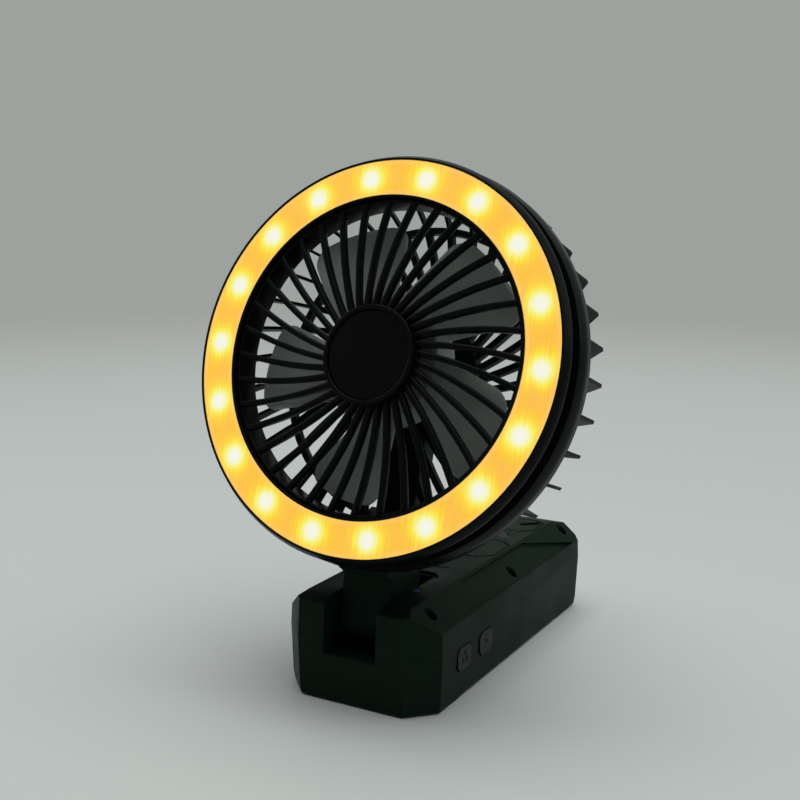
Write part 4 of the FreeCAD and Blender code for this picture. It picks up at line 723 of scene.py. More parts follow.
class Palette:
    """The finishes of the part by slot, each made at its first use."""

    def __init__(self, axes: HeadAxes) -> None:
        """Mix the finishes."""
        steel = Metal(paint(176, 176, 178), paint(120, 121, 124))
        bright = Metal(paint(206, 206, 208), paint(170, 171, 174), 0.12, 0.25)
        lamps = Lit(
            axes,
            lamp_radius=72.8 * MM,
            lamp_count=18,
            spread_across=4.9 * MM,
            spread_up=5.0 * MM,
            low_radius=66.8 * MM,
            high_radius=78.6 * MM,
        )
        self.finishes: dict[Slot, Finish] = {
            # The housing's lighter edge tone is partly a painted highlight along its edges.
            Slot.HOUSING: Moulded(paint(16, 32, 24), paint(34, 54, 44), edge=0.0008, dust=0.02, shine=0.04),
            Slot.BAND: self.glossy(paint(9, 13, 11), paint(30, 38, 34), 0.000002, 0.05),
            Slot.GRILLE: self.glossy(paint(5, 8, 6), paint(24, 30, 26), 0.000004, 0.07),
            Slot.BLADE: Smoked(paint(167, 173, 168), paint(154, 160, 156)),
            Slot.BUTTON: Moulded(paint(14, 21, 17), paint(54, 66, 60), 0.3, 0.4, dust=0.03, shine=0.11),
            Slot.DIFFUSER: lamps,
            Slot.LAMP_BOARD: Moulded(paint(232, 232, 226), paint(200, 200, 190), 0.25, 0.35),
            Slot.LAMP_CHIP: Moulded(paint(252, 238, 150), paint(240, 230, 180), 0.3, 0.4),
            Slot.RUBBER: Moulded(paint(24, 24, 24), paint(48, 48, 48), 0.75, 0.9, grain_height=0.00004),
            Slot.SCREW: Metal(paint(84, 86, 86), paint(52, 54, 55), 0.3, 0.45),
            Slot.PIN: bright,
            Slot.SHAFT: bright,
            Slot.CAN: steel,
            Slot.BEARING: Metal(paint(184, 142, 86), paint(140, 104, 62)),
            Slot.WINDING: Metal(paint(196, 110, 62), paint(150, 78, 42), 0.3, 0.5),
            Slot.ROTOR: Metal(paint(88, 88, 92), paint(60, 60, 64), 0.4, 0.55),
            Slot.WASHER: Moulded(paint(222, 220, 208), paint(190, 188, 176), 0.3, 0.4),
            Slot.CIRCUIT: Laminate(paint(20, 88, 52), paint(44, 128, 78)),
            Slot.COMPONENT: Moulded(paint(13, 15, 14), paint(50, 50, 52), 0.4, 0.55, dust=0.02),
            Slot.WRAP: Film(paint(48, 96, 168), paint(226, 228, 230)),
            Slot.HOLDER: Moulded(paint(34, 34, 36), paint(64, 64, 66), 0.4, 0.5),
            Slot.STRIP: Metal(paint(196, 194, 184), paint(160, 158, 150)),
            Slot.SOCKET: bright,
            Slot.LEAD: Moulded(paint(150, 26, 24), paint(170, 60, 54), 0.35, 0.5, dust=0.02),
            Slot.LIGHT_PIPE: Clear(paint(44, 48, 120), paint(84, 72, 150)),
        }
        self.made: dict[Slot, bpy.types.Material] = {}

    @staticmethod
    def glossy(colour: Colour, worn_and_highlit_edge: Colour, grain_height: float, shine: float) -> Moulded:
        """Mix a clean, nearly smooth plastic."""
        return Moulded(colour, worn_and_highlit_edge, 0.2, 0.3, grain_height=grain_height, dust=0.0, shine=shine)

    def material(self, slot: Slot) -> bpy.types.Material:
        """Give a slot's material, made at its first use."""
        if slot not in self.made:
            self.made[slot] = self.finishes[slot].material(slot.value)
        return self.made[slot]


def mesh_from(name: str, points: Sequence[Sequence[float]], faces: Sequence[Sequence[int]]) -> Mesh:
    """Make a mesh with outward faces.

    Args:
        name: The mesh's name.
        points: Its points.
        faces: The corners of each face.

    Returns:
        The new mesh.
    """
    mesh = bpy.data.meshes.new(name)
    mesh.from_pydata([tuple(point) for point in points], [], [tuple(face) for face in faces])
    tidy(mesh)
    return mesh


def tidy(mesh: Mesh, turn: bool = True) -> None:
    """Join doubled points and shade the mesh smooth up to its sharp edges.

    Args:
        mesh: The mesh to tidy.
        turn: Whether its faces are turned outwards.
    """
    work = bmesh.new()
    work.from_mesh(mesh)
    bmesh.ops.remove_doubles(work, verts=work.verts, dist=JOINED)
    if turn:
        bmesh.ops.recalc_face_normals(work, faces=work.faces)
    work.to_mesh(mesh)
    work.free()
    mesh.shade_smooth()
    mesh.set_sharp_from_angle(angle=SMOOTH_ANGLE)


def eased(profile: Profile, radius: float, steps: int = 4) -> Profile:
    """Round the corners of a closed profile.

    Args:
        profile: Its corners as radius and depth.
        radius: How far the rounding reaches along each side.
        steps: Points on each rounded corner.

    Returns:
        The rounded profile, with corners on the axis left sharp.
    """
    most_of_side = 0.45
    result: Profile = []
    for i, corner in enumerate(profile):
        here = Vector(corner)
        before = Vector(profile[i - 1])
        after = Vector(profile[(i + 1) % len(profile)])
        if here.x < ON_AXIS:
            result.append(corner)
            continue
        reach = [min(radius, (there - here).length * most_of_side) for there in (before, after)]
        start = here + (before - here).normalized() * reach[0]
        stop = here + (after - here).normalized() * reach[1]
        for step in range(steps + 1):
            share = step / steps
            point = start.lerp(here, share).lerp(here.lerp(stop, share), share)
            result.append((point.x, point.y))
    return result


def turned(name: str, profile: Profile, segments: int = 144) -> Mesh:
    """Turn a closed profile about the head's axis.

    Args:
        name: The mesh's name.
        profile: Its corners as radius and depth.
        segments: Steps round the axis.

    Returns:
        The turned mesh, given as across, depth and rise.
    """
    points: list[tuple[float, float, float]] = []
    rings: list[list[int]] = []
    for radius, depth in profile:
        count = 1 if radius < ON_AXIS else segments
        rings.append(list(range(len(points), len(points) + count)))
        for step in range(count):
            angle = FULL_TURN * step / count
            points.append((radius * math.cos(angle), depth, radius * math.sin(angle)))
    faces: list[list[int]] = []
    for i, ring in enumerate(rings):
        other = rings[(i + 1) % len(rings)]
        for step in range(segments):
            pair = (step, (step + 1) % segments)
            low = [ring[p % len(ring)] for p in pair]
            high = [other[p % len(other)] for p in reversed(pair)]
            corners = list(dict.fromkeys(low + high))
            if len(corners) > 2:
                faces.append(corners)
    return mesh_from(name, points, faces)


def lofted(name: str, sections: list[list[Vector]]) -> Mesh:
    """Skin a row of closed sections and close its ends.

    Args:
        name: The mesh's name.
        sections: The points round each section, as many in each.

    Returns:
        The skinned mesh.
    """
    count = len(sections[0])
    points = [point for section in sections for point in section]
    faces = [list(range(count)), list(range(len(points) - count, len(points)))]
    for row in range(len(sections) - 1):
        for step in range(count):
            after = (step + 1) % count
            low = row * count
            faces.append([low + step, low + after, low + count + after, low + count + step])
    return mesh_from(name, points, faces)


class GrowthTree:
    """A geometry node tree with named inputs that ends in plain geometry with a finish."""

    def __init__(self, label: str, carried: bool = False) -> None:
        """Start an empty tree.

        Args:
            label: The tree's name.
            carried: Whether it starts from a carrier mesh.
        """
        self.tree = bpy.data.node_groups.new(label, "GeometryNodeTree")
        self.tree.interface.new_socket("Geometry", in_out="OUTPUT", socket_type="NodeSocketGeometry")
        self.wiring = Wiring(self.tree)
        self.entry = self.wiring.node("NodeGroupInput")
        self.keys: dict[str, str] = {}
        self.carrier_socket = self.size("Places", "NodeSocketGeometry") if carried else None
        self.finish_socket = self.size("Finish", "NodeSocketMaterial")

    def size(self, label: str, kind: str = "NodeSocketFloat") -> Socket:
        """Add a named input.

        Args:
            label: The input's name.
            kind: Its socket type.

        Returns:
            The value inside the tree.
        """
        made = self.tree.interface.new_socket(label, in_out="INPUT", socket_type=kind)
        self.keys[label] = made.identifier
        return self.entry.outputs[label]

    def close(self, geometry: Socket) -> None:
        """Turn the instances into plain geometry, give it the finish and put it out."""
        real = self.wiring.node("GeometryNodeRealizeInstances", {0: geometry})
        inputs = {"Geometry": real.outputs[0], "Material": self.finish_socket}
        coated = self.wiring.node("GeometryNodeSetMaterial", inputs)
        self.wiring.node("NodeGroupOutput", {0: coated.outputs[0]})

    def grow(self, name: str, values: dict[str, object], carrier: Optional[Mesh] = None) -> Mesh:
        """Run the tree once.

        Args:
            name: The new mesh's name.
            values: Its inputs by name.
            carrier: The mesh that the tree starts from, if it has one.

        Returns:
            A plain mesh.
        """
        holder = bpy.data.objects.new(f"{name}_holder", carrier or bpy.data.meshes.new(f"{name}_start"))
        bpy.context.scene.collection.objects.link(holder)
        grower = holder.modifiers.new("grow", "NODES")
        grower.node_group = self.tree
        for label, value in values.items():
            grower[self.keys[label]] = value
        depsgraph = bpy.context.evaluated_depsgraph_get()
        mesh = bpy.data.meshes.new_from_object(holder.evaluated_get(depsgraph), depsgraph=depsgraph)
        bpy.data.objects.remove(holder)
        mesh.name = name
        return mesh


class RibTree(GrowthTree):
    """Curved ribs with rounded edges, set round a centre."""

    def __init__(self) -> None:
        """Sweep a rounded bar along an arc and repeat it round the centre."""
        super().__init__("swept ribs")
        wiring = self.wiring
        count = self.size("Count", "NodeSocketInt")
        turn = self.size("Start Turn")
        centre = self.size("Arc Centre", "NodeSocketVector")
        arc_inputs = {
            "Resolution": self.size("Steps", "NodeSocketInt"),
            "Radius": self.size("Arc Radius"),
            "Start Angle": self.size("Arc Start"),
            "Sweep Angle": self.size("Arc Sweep"),
        }
        arc = wiring.node("GeometryNodeCurveArc", arc_inputs, mode="RADIUS")
        move = {"Geometry": arc.outputs["Curve"], "Translation": centre}
        placed = wiring.node("GeometryNodeTransform", move)
        upright = wiring.node("GeometryNodeSetCurveNormal", {"Curve": placed.outputs[0]}, mode="Z_UP")
        bar_inputs = {"Width": self.size("Bar Width"), "Height": self.size("Bar Depth")}
        bar = wiring.node("GeometryNodeCurvePrimitiveQuadrilateral", bar_inputs)
        ease = self.size("Bar Easing")
        corners = {"Curve": bar.outputs[0], "Radius": ease, "Count": 3, "Limit Radius": True}
        rounded = wiring.node("GeometryNodeFilletCurve", corners, mode="POLY")
        sweep = {"Curve": upright.outputs[0], "Profile Curve": rounded.outputs[0], "Fill Caps": True}
        rib = wiring.node("GeometryNodeCurveToMesh", sweep)
        self.close(self.repeat(rib.outputs[0], count, turn))

    def repeat(self, geometry: Socket, count: Socket, turn: Socket) -> Socket:
        """Set copies of a shape round the upright axis.

        Args:
            geometry: The shape.
            count: How many copies.
            turn: The first copy's turn in radians.

        Returns:
            The copies.
        """
        wiring = self.wiring
        step = wiring.math("DIVIDE", FULL_TURN, count)
        place = wiring.node("GeometryNodeInputIndex").outputs[0]
        angle = wiring.math("ADD", turn, wiring.math("MULTIPLY", place, step))
        spin = wiring.node("FunctionNodeAxisAngleToRotation", {"Axis": (0.0, 0.0, 1.0), "Angle": angle})
        spots = wiring.node("GeometryNodePoints", {"Count": count})
        inputs = {"Points": spots.outputs[0], "Instance": geometry, "Rotation": spin.outputs[0]}
        return wiring.node("GeometryNodeInstanceOnPoints", inputs).outputs[0]


class RoundTree(RibTree):
    """A ready shape, set round a centre."""

    def __init__(self) -> None:
        """Repeat the shape of another object round the centre."""
        GrowthTree.__init__(self, "set round a centre")
        count = self.size("Count", "NodeSocketInt")
        turn = self.size("Start Turn")
        shape = self.size("Shape", "NodeSocketObject")
        held = self.wiring.node("GeometryNodeObjectInfo", {"Object": shape})
        self.close(self.repeat(held.outputs["Geometry"], count, turn))


class SpotTree(GrowthTree):
    """A ready shape, set on every point of a carrier mesh."""

    def __init__(self) -> None:
        """Set a copy of the shape on each point."""
        super().__init__("set on points", carried=True)
        shape = self.size("Shape", "NodeSocketObject")
        held = self.wiring.node("GeometryNodeObjectInfo", {"Object": shape})
        inputs = {"Points": self.carrier_socket, "Instance": held.outputs["Geometry"]}
        self.close(self.wiring.node("GeometryNodeInstanceOnPoints", inputs).outputs[0])


@dataclass
class SubAssembly:
    """A group of pieces that belong together, with the tools that make them."""

    palette: Palette
    axes: HeadAxes
    pieces: list[Thing] = field(default_factory=list, init=False)

    def build(self) -> None:
        """Make and dress the pieces."""
        raise NotImplementedError

    def show(self, name: str, mesh: Mesh, slot: Slot, body: str, stands_for: Sequence[str] = ()) -> Thing:
        """Put a finished mesh in the scene.

        Args:
            name: The piece's name.
            mesh: Its mesh, in place.
            slot: Its finish.
            body: The body that it moves with.
            stands_for: The CAD nodes that it replaces.

        Returns:
            The new piece.
        """
        mesh.materials.clear()
        mesh.materials.append(self.palette.material(slot))
        piece = bpy.data.objects.new(name, mesh)
        bpy.context.scene.collection.objects.link(piece)
        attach(piece, body)
        if stands_for:
            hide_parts(*stands_for)
        self.pieces.append(piece)
        LOG.info("%s: %d faces, %s, on %s", name, len(mesh.polygons), slot.value, body)
        return piece

    def recast(self, node: str, slot: Slot) -> Thing:
        """Replace a CAD node by a merged copy with smooth shading.

        Args:
            node: The CAD node's name.
            slot: The copy's finish.

        Returns:
            The new piece.
        """
        source = frame["nodes"][node]
        mesh = bpy.data.meshes.new(f"{node}_skin")
        points = [tuple(vertex.co) for vertex in source.data.vertices]
        mesh.from_pydata(points, [], [tuple(face.vertices) for face in source.data.polygons])
        tidy(mesh, turn=False)
        return self.show(f"{node}_dressed", mesh, slot, source["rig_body"], [node])

    def keep(self, node: str, slot: Slot) -> None:
        """Give a CAD node its finish and leave its mesh alone.

        Args:
            node: The CAD node's name.
            slot: Its finish.
        """
        piece = frame["nodes"][node]
        material = self.palette.material(slot)
        if not piece.data.materials:
            piece.data.materials.append(material)
        for place in range(len(piece.data.materials)):
            piece.data.materials[place] = material
        self.pieces.append(piece)
        LOG.info("%s: kept as built, %s", node, slot.value)

    def solids(self, node: str) -> list[list[Vector]]:
        """Split a CAD node into its separate solids.

        Args:
            node: The CAD node's name.

        Returns:
            The points of each solid.
        """
        work = bmesh.new()
        work.from_mesh(frame["nodes"][node].data)
        bmesh.ops.remove_doubles(work, verts=work.verts, dist=JOINED)
        left = set(work.verts)
        found: list[list[Vector]] = []
        while left:
            stack = [left.pop()]
            solid: list[Vector] = []
            while stack:
                vertex = stack.pop()
                solid.append(vertex.co.copy())
                near = {edge.other_vert(vertex) for edge in vertex.link_edges} & left
                left -= near
                stack.extend(near)
            found.append(solid)
        work.free()
        return found


@dataclass(frozen=True)
class ScrewSize:
    """What is measured on one CAD screw whose axis is upright."""

    seat: tuple[float, float, float]
    head: float
    shank: float
    height: float
    length: float

    NEARLY = 0.98

    @classmethod
    def measure(cls, solid: list[Vector]) -> "ScrewSize":
        """Measure a screw from its points.

        Args:
            solid: The points, with the head on top.

        Returns:
            The screw's seat and sizes.
        """
        x, y = ((min(p[i] for p in solid) + max(p[i] for p in solid)) / 2 for i in range(2))
        reach: dict[float, float] = {}
        for point in solid:
            level = round(point.z / MM, 2)
            reach[level] = max(reach.get(level, 0.0), math.hypot(point.x - x, point.y - y))
        head = max(reach.values())
        seat = min(level for level, radius in reach.items() if radius > head * cls.NEARLY) * MM
        return cls((x, y, seat), head, reach[min(reach)], max(reach) * MM - seat, seat - min(reach) * MM)


@dataclass
class ScrewSet(SubAssembly):
    """Cross-head screws that stand for a CAD node's plain ones."""

    node: str = ""
    upright: bool = True
    tree: Optional[SpotTree] = None
    slot_width: float = 0.55 * MM
    slot_depth: float = 0.6 * MM
    slot_reach: float = 0.62
    deepest: float = 0.6
    dome: tuple[Span, ...] = ((0.8, 1.0), (0.95, 0.82), (1.0, 0.5), (1.0, 0.0))
    sides: int = 24

    def build(self) -> None:
        """Measure the CAD screws, model one and set it on each place."""
        place = Matrix.Identity(4) if self.upright else self.axes.rear()
        back = place.inverted()
        sizes = [ScrewSize.measure([back @ point for point in solid]) for solid in self.solids(self.node)]
        model = bpy.data.objects.new("screw_model", self.screw(sizes[0]))
        bpy.context.scene.collection.objects.link(model)
        seats = bpy.data.meshes.new("screw_seats")
        seats.from_pydata([size.seat for size in sizes], [], [])
        values = {"Finish": self.palette.material(Slot.SCREW), "Shape": model}
        mesh = self.tree.grow(f"{self.node}_mesh", values, seats)
        bpy.data.objects.remove(model)
        mesh.transform(place)
        tidy(mesh)
        body = frame["nodes"][self.node]["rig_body"]
        self.show(f"{self.node}_cross_head", mesh, Slot.SCREW, body, [self.node])

    def screw(self, size: ScrewSize) -> Mesh:
        """Model one screw with a domed head and a cross recess.

        Args:
            size: The screw's sizes.

        Returns:
            The mesh, with its seat at the origin.
        """
        work = bmesh.new()
        arm = size.head * self.slot_reach
        half = self.slot_width / 2
        floor = size.height - min(self.slot_depth, size.height * self.deepest)
        cross = [(arm, half), (half, half), (half, arm), (-half, arm), (-half, half), (-arm, half)]
        cross += [(-x, -y) for x, y in cross]
        upper = [work.verts.new((x, y, size.height)) for x, y in cross]
        lower = [work.verts.new((x, y, floor)) for x, y in cross]
        rings = [self.ring(work, size.head * share, size.height * level) for share, level in self.dome]
        rings += [self.ring(work, size.shank, level) for level in (0.0, -size.length)]
        for first, second in zip(rings, rings[1:]):
            self.bridge(work, first, second)
        self.bridge(work, upper, lower)
        work.faces.new(list(reversed(rings[-1])))
        work.faces.new(lower)
        edges = self.loop(work, upper) + self.loop(work, rings[0])
        bmesh.ops.triangle_fill(work, use_beauty=True, edges=edges, normal=(0.0, 0.0, 1.0))
        bmesh.ops.recalc_face_normals(work, faces=work.faces)
        mesh = bpy.data.meshes.new("screw_model")
        work.to_mesh(mesh)
        work.free()
        return mesh

    def ring(self, work: bmesh.types.BMesh, radius: float, level: float) -> list[bmesh.types.BMVert]:
        """Add a level ring of points."""
        angles = [FULL_TURN * step / self.sides for step in range(self.sides)]
        return [work.verts.new((radius * math.cos(a), radius * math.sin(a), level)) for a in angles]

    @staticmethod
    def bridge(work: bmesh.types.BMesh, first: list, second: list) -> None:
        """Join two rings with faces."""
        for i in range(len(first)):
            work.faces.new((first[i - 1], first[i], second[i], second[i - 1]))

    @staticmethod
    def loop(work: bmesh.types.BMesh, ring: list) -> list[bmesh.types.BMEdge]:
        """Give the edges round a ring."""
        return [work.edges.get((ring[i - 1], ring[i])) for i in range(len(ring))]


class Dressing(SubAssembly):
    """Pieces that keep the shapes of their CAD nodes."""

    RECAST: ClassVar[dict[str, Slot]] = {}
    KEPT: ClassVar[dict[str, Slot]] = {}

    def build(self) -> None:
        """Replace the nodes that show by smooth copies, and only finish the hidden ones."""
        for node, slot in self.RECAST.items():
            self.recast(node, slot)
        for node, slot in self.KEPT.items():
            self.keep(node, slot)


class BaseCase(Dressing):
    """The two halves of the base, its feet, hinge pin and charge light."""

    RECAST = {
        "base_bottom_shell": Slot.HOUSING,
        "base_top_shell": Slot.HOUSING,
        "rubber_feet": Slot.RUBBER,
        "hinge_pin": Slot.PIN,
        "charge_light": Slot.LIGHT_PIPE,
    }


class Controls(Dressing):
    """The two push buttons with their board and switches."""

    RECAST = {"fan_button": Slot.BUTTON, "light_button": Slot.BUTTON}
    KEPT = {"button_board": Slot.CIRCUIT, "tact_switches": Slot.COMPONENT}


class PowerPack(Dressing):
    """The battery, the main board and the sockets."""

    RECAST = {
        "usb_out_socket": Slot.SOCKET,
        "usb_in_socket": Slot.SOCKET,
        "socket_tongues": Slot.COMPONENT,
    }
    KEPT = {
        "battery_cells": Slot.WRAP,
        "cell_holders": Slot.HOLDER,
        "battery_strips": Slot.STRIP,
        "main_board": Slot.CIRCUIT,
        "board_parts": Slot.COMPONENT,
        "battery_leads": Slot.LEAD,
    }


class TiltArm(Dressing):
    """The arm that carries the head on the base."""

    RECAST = {"arm_front_shell": Slot.HOUSING, "arm_rear_cover": Slot.HOUSING}
    KEPT = {"friction_washers": Slot.WASHER, "arm_wiring": Slot.LEAD}


class LightRing(Dressing):
    """The bezel, the milky diffuser, the lamps behind it and the rear band."""

    RECAST = {"front_bezel": Slot.BAND, "light_diffuser": Slot.DIFFUSER, "rear_shell": Slot.BAND}
    KEPT = {"led_board": Slot.LAMP_BOARD, "led_chips": Slot.LAMP_CHIP}


class RearGuard(Dressing):
    """The finned guard behind the blades."""

    RECAST = {"rear_guard": Slot.HOUSING}


class Motor(Dressing):
    """The motor and its driver board."""

    RECAST = {"motor_can": Slot.CAN}
    KEPT = {
        "motor_end_plate": Slot.CAN,
        "motor_windings": Slot.WINDING,
        "motor_bearings": Slot.BEARING,
        "driver_board": Slot.CIRCUIT,
        "motor_rotor": Slot.ROTOR,
        "motor_shaft": Slot.SHAFT,
    }


@dataclass
class FrontGrille(SubAssembly):
    """The hoop, the curved ribs, the centre ring and its cap."""

    tree: Optional[RibTree] = None
    hoop_outer: float = 64.45 * MM
    hoop_inner: float = 62.95 * MM
    hoop_front: float = 1.6 * MM
    hoop_back: float = 13.6 * MM
    ring_outer: float = 20.2 * MM
    ring_seat: float = 18.3 * MM
    ring_front: float = -2.2 * MM
    ring_back: float = 5.0 * MM
    seat_depth: float = 2.5 * MM
    cap_gap: float = 0.1 * MM
    cap_front: float = -1.2 * MM
    rib_count: int = 36
    rib_width: float = 2.4 * MM
    rib_front: float = 1.2 * MM
    rib_back: float = 4.6 * MM
    rib_turn: float = 3.5
    sweep_radius: float = 165.0 * MM
    flat_radius: float = 21.6 * MM
    rise: float = 5.0 * MM
    rib_root: float = 0.9 * MM
    rib_tip: float = 0.75 * MM
    rib_steps: int = 20
    rib_easing: float = 0.7 * MM
    hoop_easing: float = 0.5 * MM
    ring_easing: float = 0.6 * MM
    cap_easing: float = 0.4 * MM

    def build(self) -> None:
        """Make the hoop, ribs, ring and cap."""
        hoop = [
            (self.hoop_inner, self.hoop_front),
            (self.hoop_inner, self.hoop_back),
            (self.hoop_outer, self.hoop_back),
            (self.hoop_outer, self.hoop_front),
        ]
        self.place_turned("grille_hoop", eased(hoop, self.hoop_easing), ["front_grille"])
        ring = [
            (0.0, self.seat_depth),
            (self.ring_seat, self.seat_depth),
            (self.ring_seat, self.ring_front),
            (self.ring_outer, self.ring_front),
            (self.ring_outer, self.ring_back),
            (0.0, self.ring_back),
        ]
        self.place_turned("grille_centre_ring", eased(ring, self.ring_easing), [])
        cap_radius = self.ring_seat - self.cap_gap
        cap = [
            (0.0, self.cap_front),
            (cap_radius, self.cap_front),
            (cap_radius, self.seat_depth),
            (0.0, self.seat_depth),
        ]
        self.place_turned("grille_cap_disc", eased(cap, self.cap_easing), ["grille_cap"])
        self.place_ribs()

    def place_turned(self, name: str, profile: Profile, stands_for: Sequence[str]) -> None:
        """Turn a profile and put it on the head."""
        mesh = turned(f"{name}_mesh", profile)
        mesh.transform(self.axes.matrix())
        self.show(name, mesh, Slot.GRILLE, "head", stands_for)

    def arc_angle(self, reach: float) -> float:
        """Find where a rib's arc is at a given distance from the head's axis.

        Args:
            reach: The distance from the axis.

        Returns:
            The angle on the arc, in radians.
        """
        centre = Vector((self.flat_radius, self.rise - self.sweep_radius))
        apart = centre.length
        cosine = (apart**2 + self.sweep_radius**2 - reach**2) / (2 * apart * self.sweep_radius)
        inward = math.atan2(-centre.y, -centre.x)
        return inward - math.acos(cosine)

    def place_ribs(self) -> None:
        """Grow the ribs and put them on the head."""
        start = self.arc_angle(self.ring_outer - self.rib_root)
        stop = self.arc_angle(self.hoop_inner + self.rib_tip)
        middle = -(self.rib_front + self.rib_back) / 2
        values = {
            "Finish": self.palette.material(Slot.GRILLE),
            "Count": self.rib_count,
            "Start Turn": math.radians(self.rib_turn),
            "Arc Centre": (self.flat_radius, self.rise - self.sweep_radius, middle),
            "Steps": self.rib_steps,
            "Arc Radius": self.sweep_radius,
            "Arc Start": start,
            "Arc Sweep": stop - start,
            "Bar Width": self.rib_width,
            "Bar Depth": self.rib_back - self.rib_front,
            "Bar Easing": self.rib_easing,
        }
        mesh = self.tree.grow("grille_rib_mesh", values)
        mesh.transform(self.axes.plan())
        tidy(mesh)
        self.show("grille_ribs", mesh, Slot.GRILLE, "head")


@dataclass
class Impeller(SubAssembly):
    """The cupped hub and its five pitched blades."""

    tree: Optional[RoundTree] = None
    blade_count: int = 5
    first_blade: float = 114.0
    hub_radius: float = 26.0 * MM
    hub_front: float = 7.5 * MM
    hub_back: float = 24.5 * MM
    wall: float = 2.0 * MM
    bore: float = 1.6 * MM
    boss: float = 4.5 * MM
    shaft_front: float = 10.0 * MM
    root: float = 24.6 * MM
    tip: float = 58.5 * MM
    root_level: float = 17.0 * MM
    root_chord: float = 9.0 * MM
    tip_chord: float = 21.0 * MM
    root_shift: float = 6.0 * MM
    front: float = 11.0 * MM
    back: float = 22.0 * MM
    thickness: float = 1.5 * MM
    camber: float = 1.4 * MM
    tip_corner: float = 7.0 * MM
    hub_easing: float = 0.8 * MM
    hub_segments: int = 96
    crowding: float = 1.6
    edge_share: float = 0.35
    edge_power: int = 4

    def build(self) -> None:
        """Make the hub and blades."""
        hub = [
            (0.0, self.hub_front),
            (self.hub_radius, self.hub_front),
            (self.hub_radius, self.hub_back),
            (self.hub_radius - self.wall, self.hub_back),
            (self.hub_radius - self.wall, self.hub_front + self.wall),
            (self.boss, self.hub_front + self.wall),
            (self.boss, self.hub_back),
            (self.bore, self.hub_back),
            (self.bore, self.shaft_front),
            (0.0, self.shaft_front),
        ]
        mesh = turned("fan_hub_mesh", eased(hub, self.hub_easing), self.hub_segments)
        mesh.transform(self.axes.matrix())
        self.show("fan_hub", mesh, Slot.BLADE, "spinner", ["impeller"])
        model = bpy.data.objects.new("blade_model", self.blade())
        bpy.context.scene.collection.objects.link(model)
        values = {
            "Finish": self.palette.material(Slot.BLADE),
            "Count": self.blade_count,
            "Start Turn": math.radians(self.first_blade - 90),
            "Shape": model,
        }
        blades = self.tree.grow("fan_blade_mesh", values)
        bpy.data.objects.remove(model)
        blades.transform(self.axes.plan())
        tidy(blades)
        self.show("fan_blades", blades, Slot.BLADE, "spinner")

    def blade(self, rows: int = 16) -> Mesh:
        """Model one blade that points up in a plan drawing.

        Args:
            rows: Sections from root to tip.

        Returns:
            The blade's mesh.
        """
        sections = []
        for row in range(rows + 1):
            share = 1 - (1 - row / rows) ** self.crowding
            sections.append(self.section(self.root + (self.tip - self.root) * share))
        return lofted("blade_model", sections)

    def section(self, radius: float, steps: int = 14) -> list[Vector]:
        """Give the blade's section at one distance from the axis.

        Args:
            radius: The distance.
            steps: Points along each face.

        Returns:
            The points round the section.
        """
        level = (radius - self.root_level) / (self.tip - self.root_level)
        chord = self.root_chord + (self.tip_chord - self.root_chord) * level
        shift = self.root_shift * (1 - level)
        into_corner = max(0.0, radius - (self.tip - self.tip_corner)) / self.tip_corner
        trim = self.tip_corner * (1 - math.sqrt(max(0.0, 1 - into_corner**2)))
        faces: list[list[Vector]] = [[], []]
        for step in range(steps + 1):
            along = math.cos(math.pi * step / steps)
            x = along * (chord - trim) - shift
            place = (x + shift) / chord
            bow = self.camber * (1 - place**2)
            depth = (self.front + self.back) / 2 + (self.back - self.front) / 2 * place + bow
            fullness = math.sqrt(max(0.0, 1 - along**self.edge_power))
            half = self.thickness / 2 * (self.edge_share + (1 - self.edge_share) * fullness)
            rise = math.sqrt(max(0.0, radius**2 - x**2))
            for face, side in zip(faces, (-half, half)):
                face.append(Vector((x, rise, -(depth - self.thickness / 2 + side))))
        return faces[0] + list(reversed(faces[1]))


@dataclass(frozen=True)
class Lamp:
    """A square soft lamp."""

    name: str
    place: tuple[float, float, float]
    aim: tuple[float, float, float]
    side: float
    power: float
    tint: tuple[float, float, float]

    def hang(self) -> None:
        """Put the lamp in the scene."""
        data = bpy.data.lights.new(self.name, "AREA")
        data.size = self.side
        data.energy = self.power
        data.color = self.tint
        lamp = bpy.data.objects.new(self.name, data)
        lamp.location = self.place
        lamp.rotation_euler = (Vector(self.aim) - Vector(self.place)).to_track_quat("-Z", "Y").to_euler()
        bpy.context.scene.collection.objects.link(lamp)


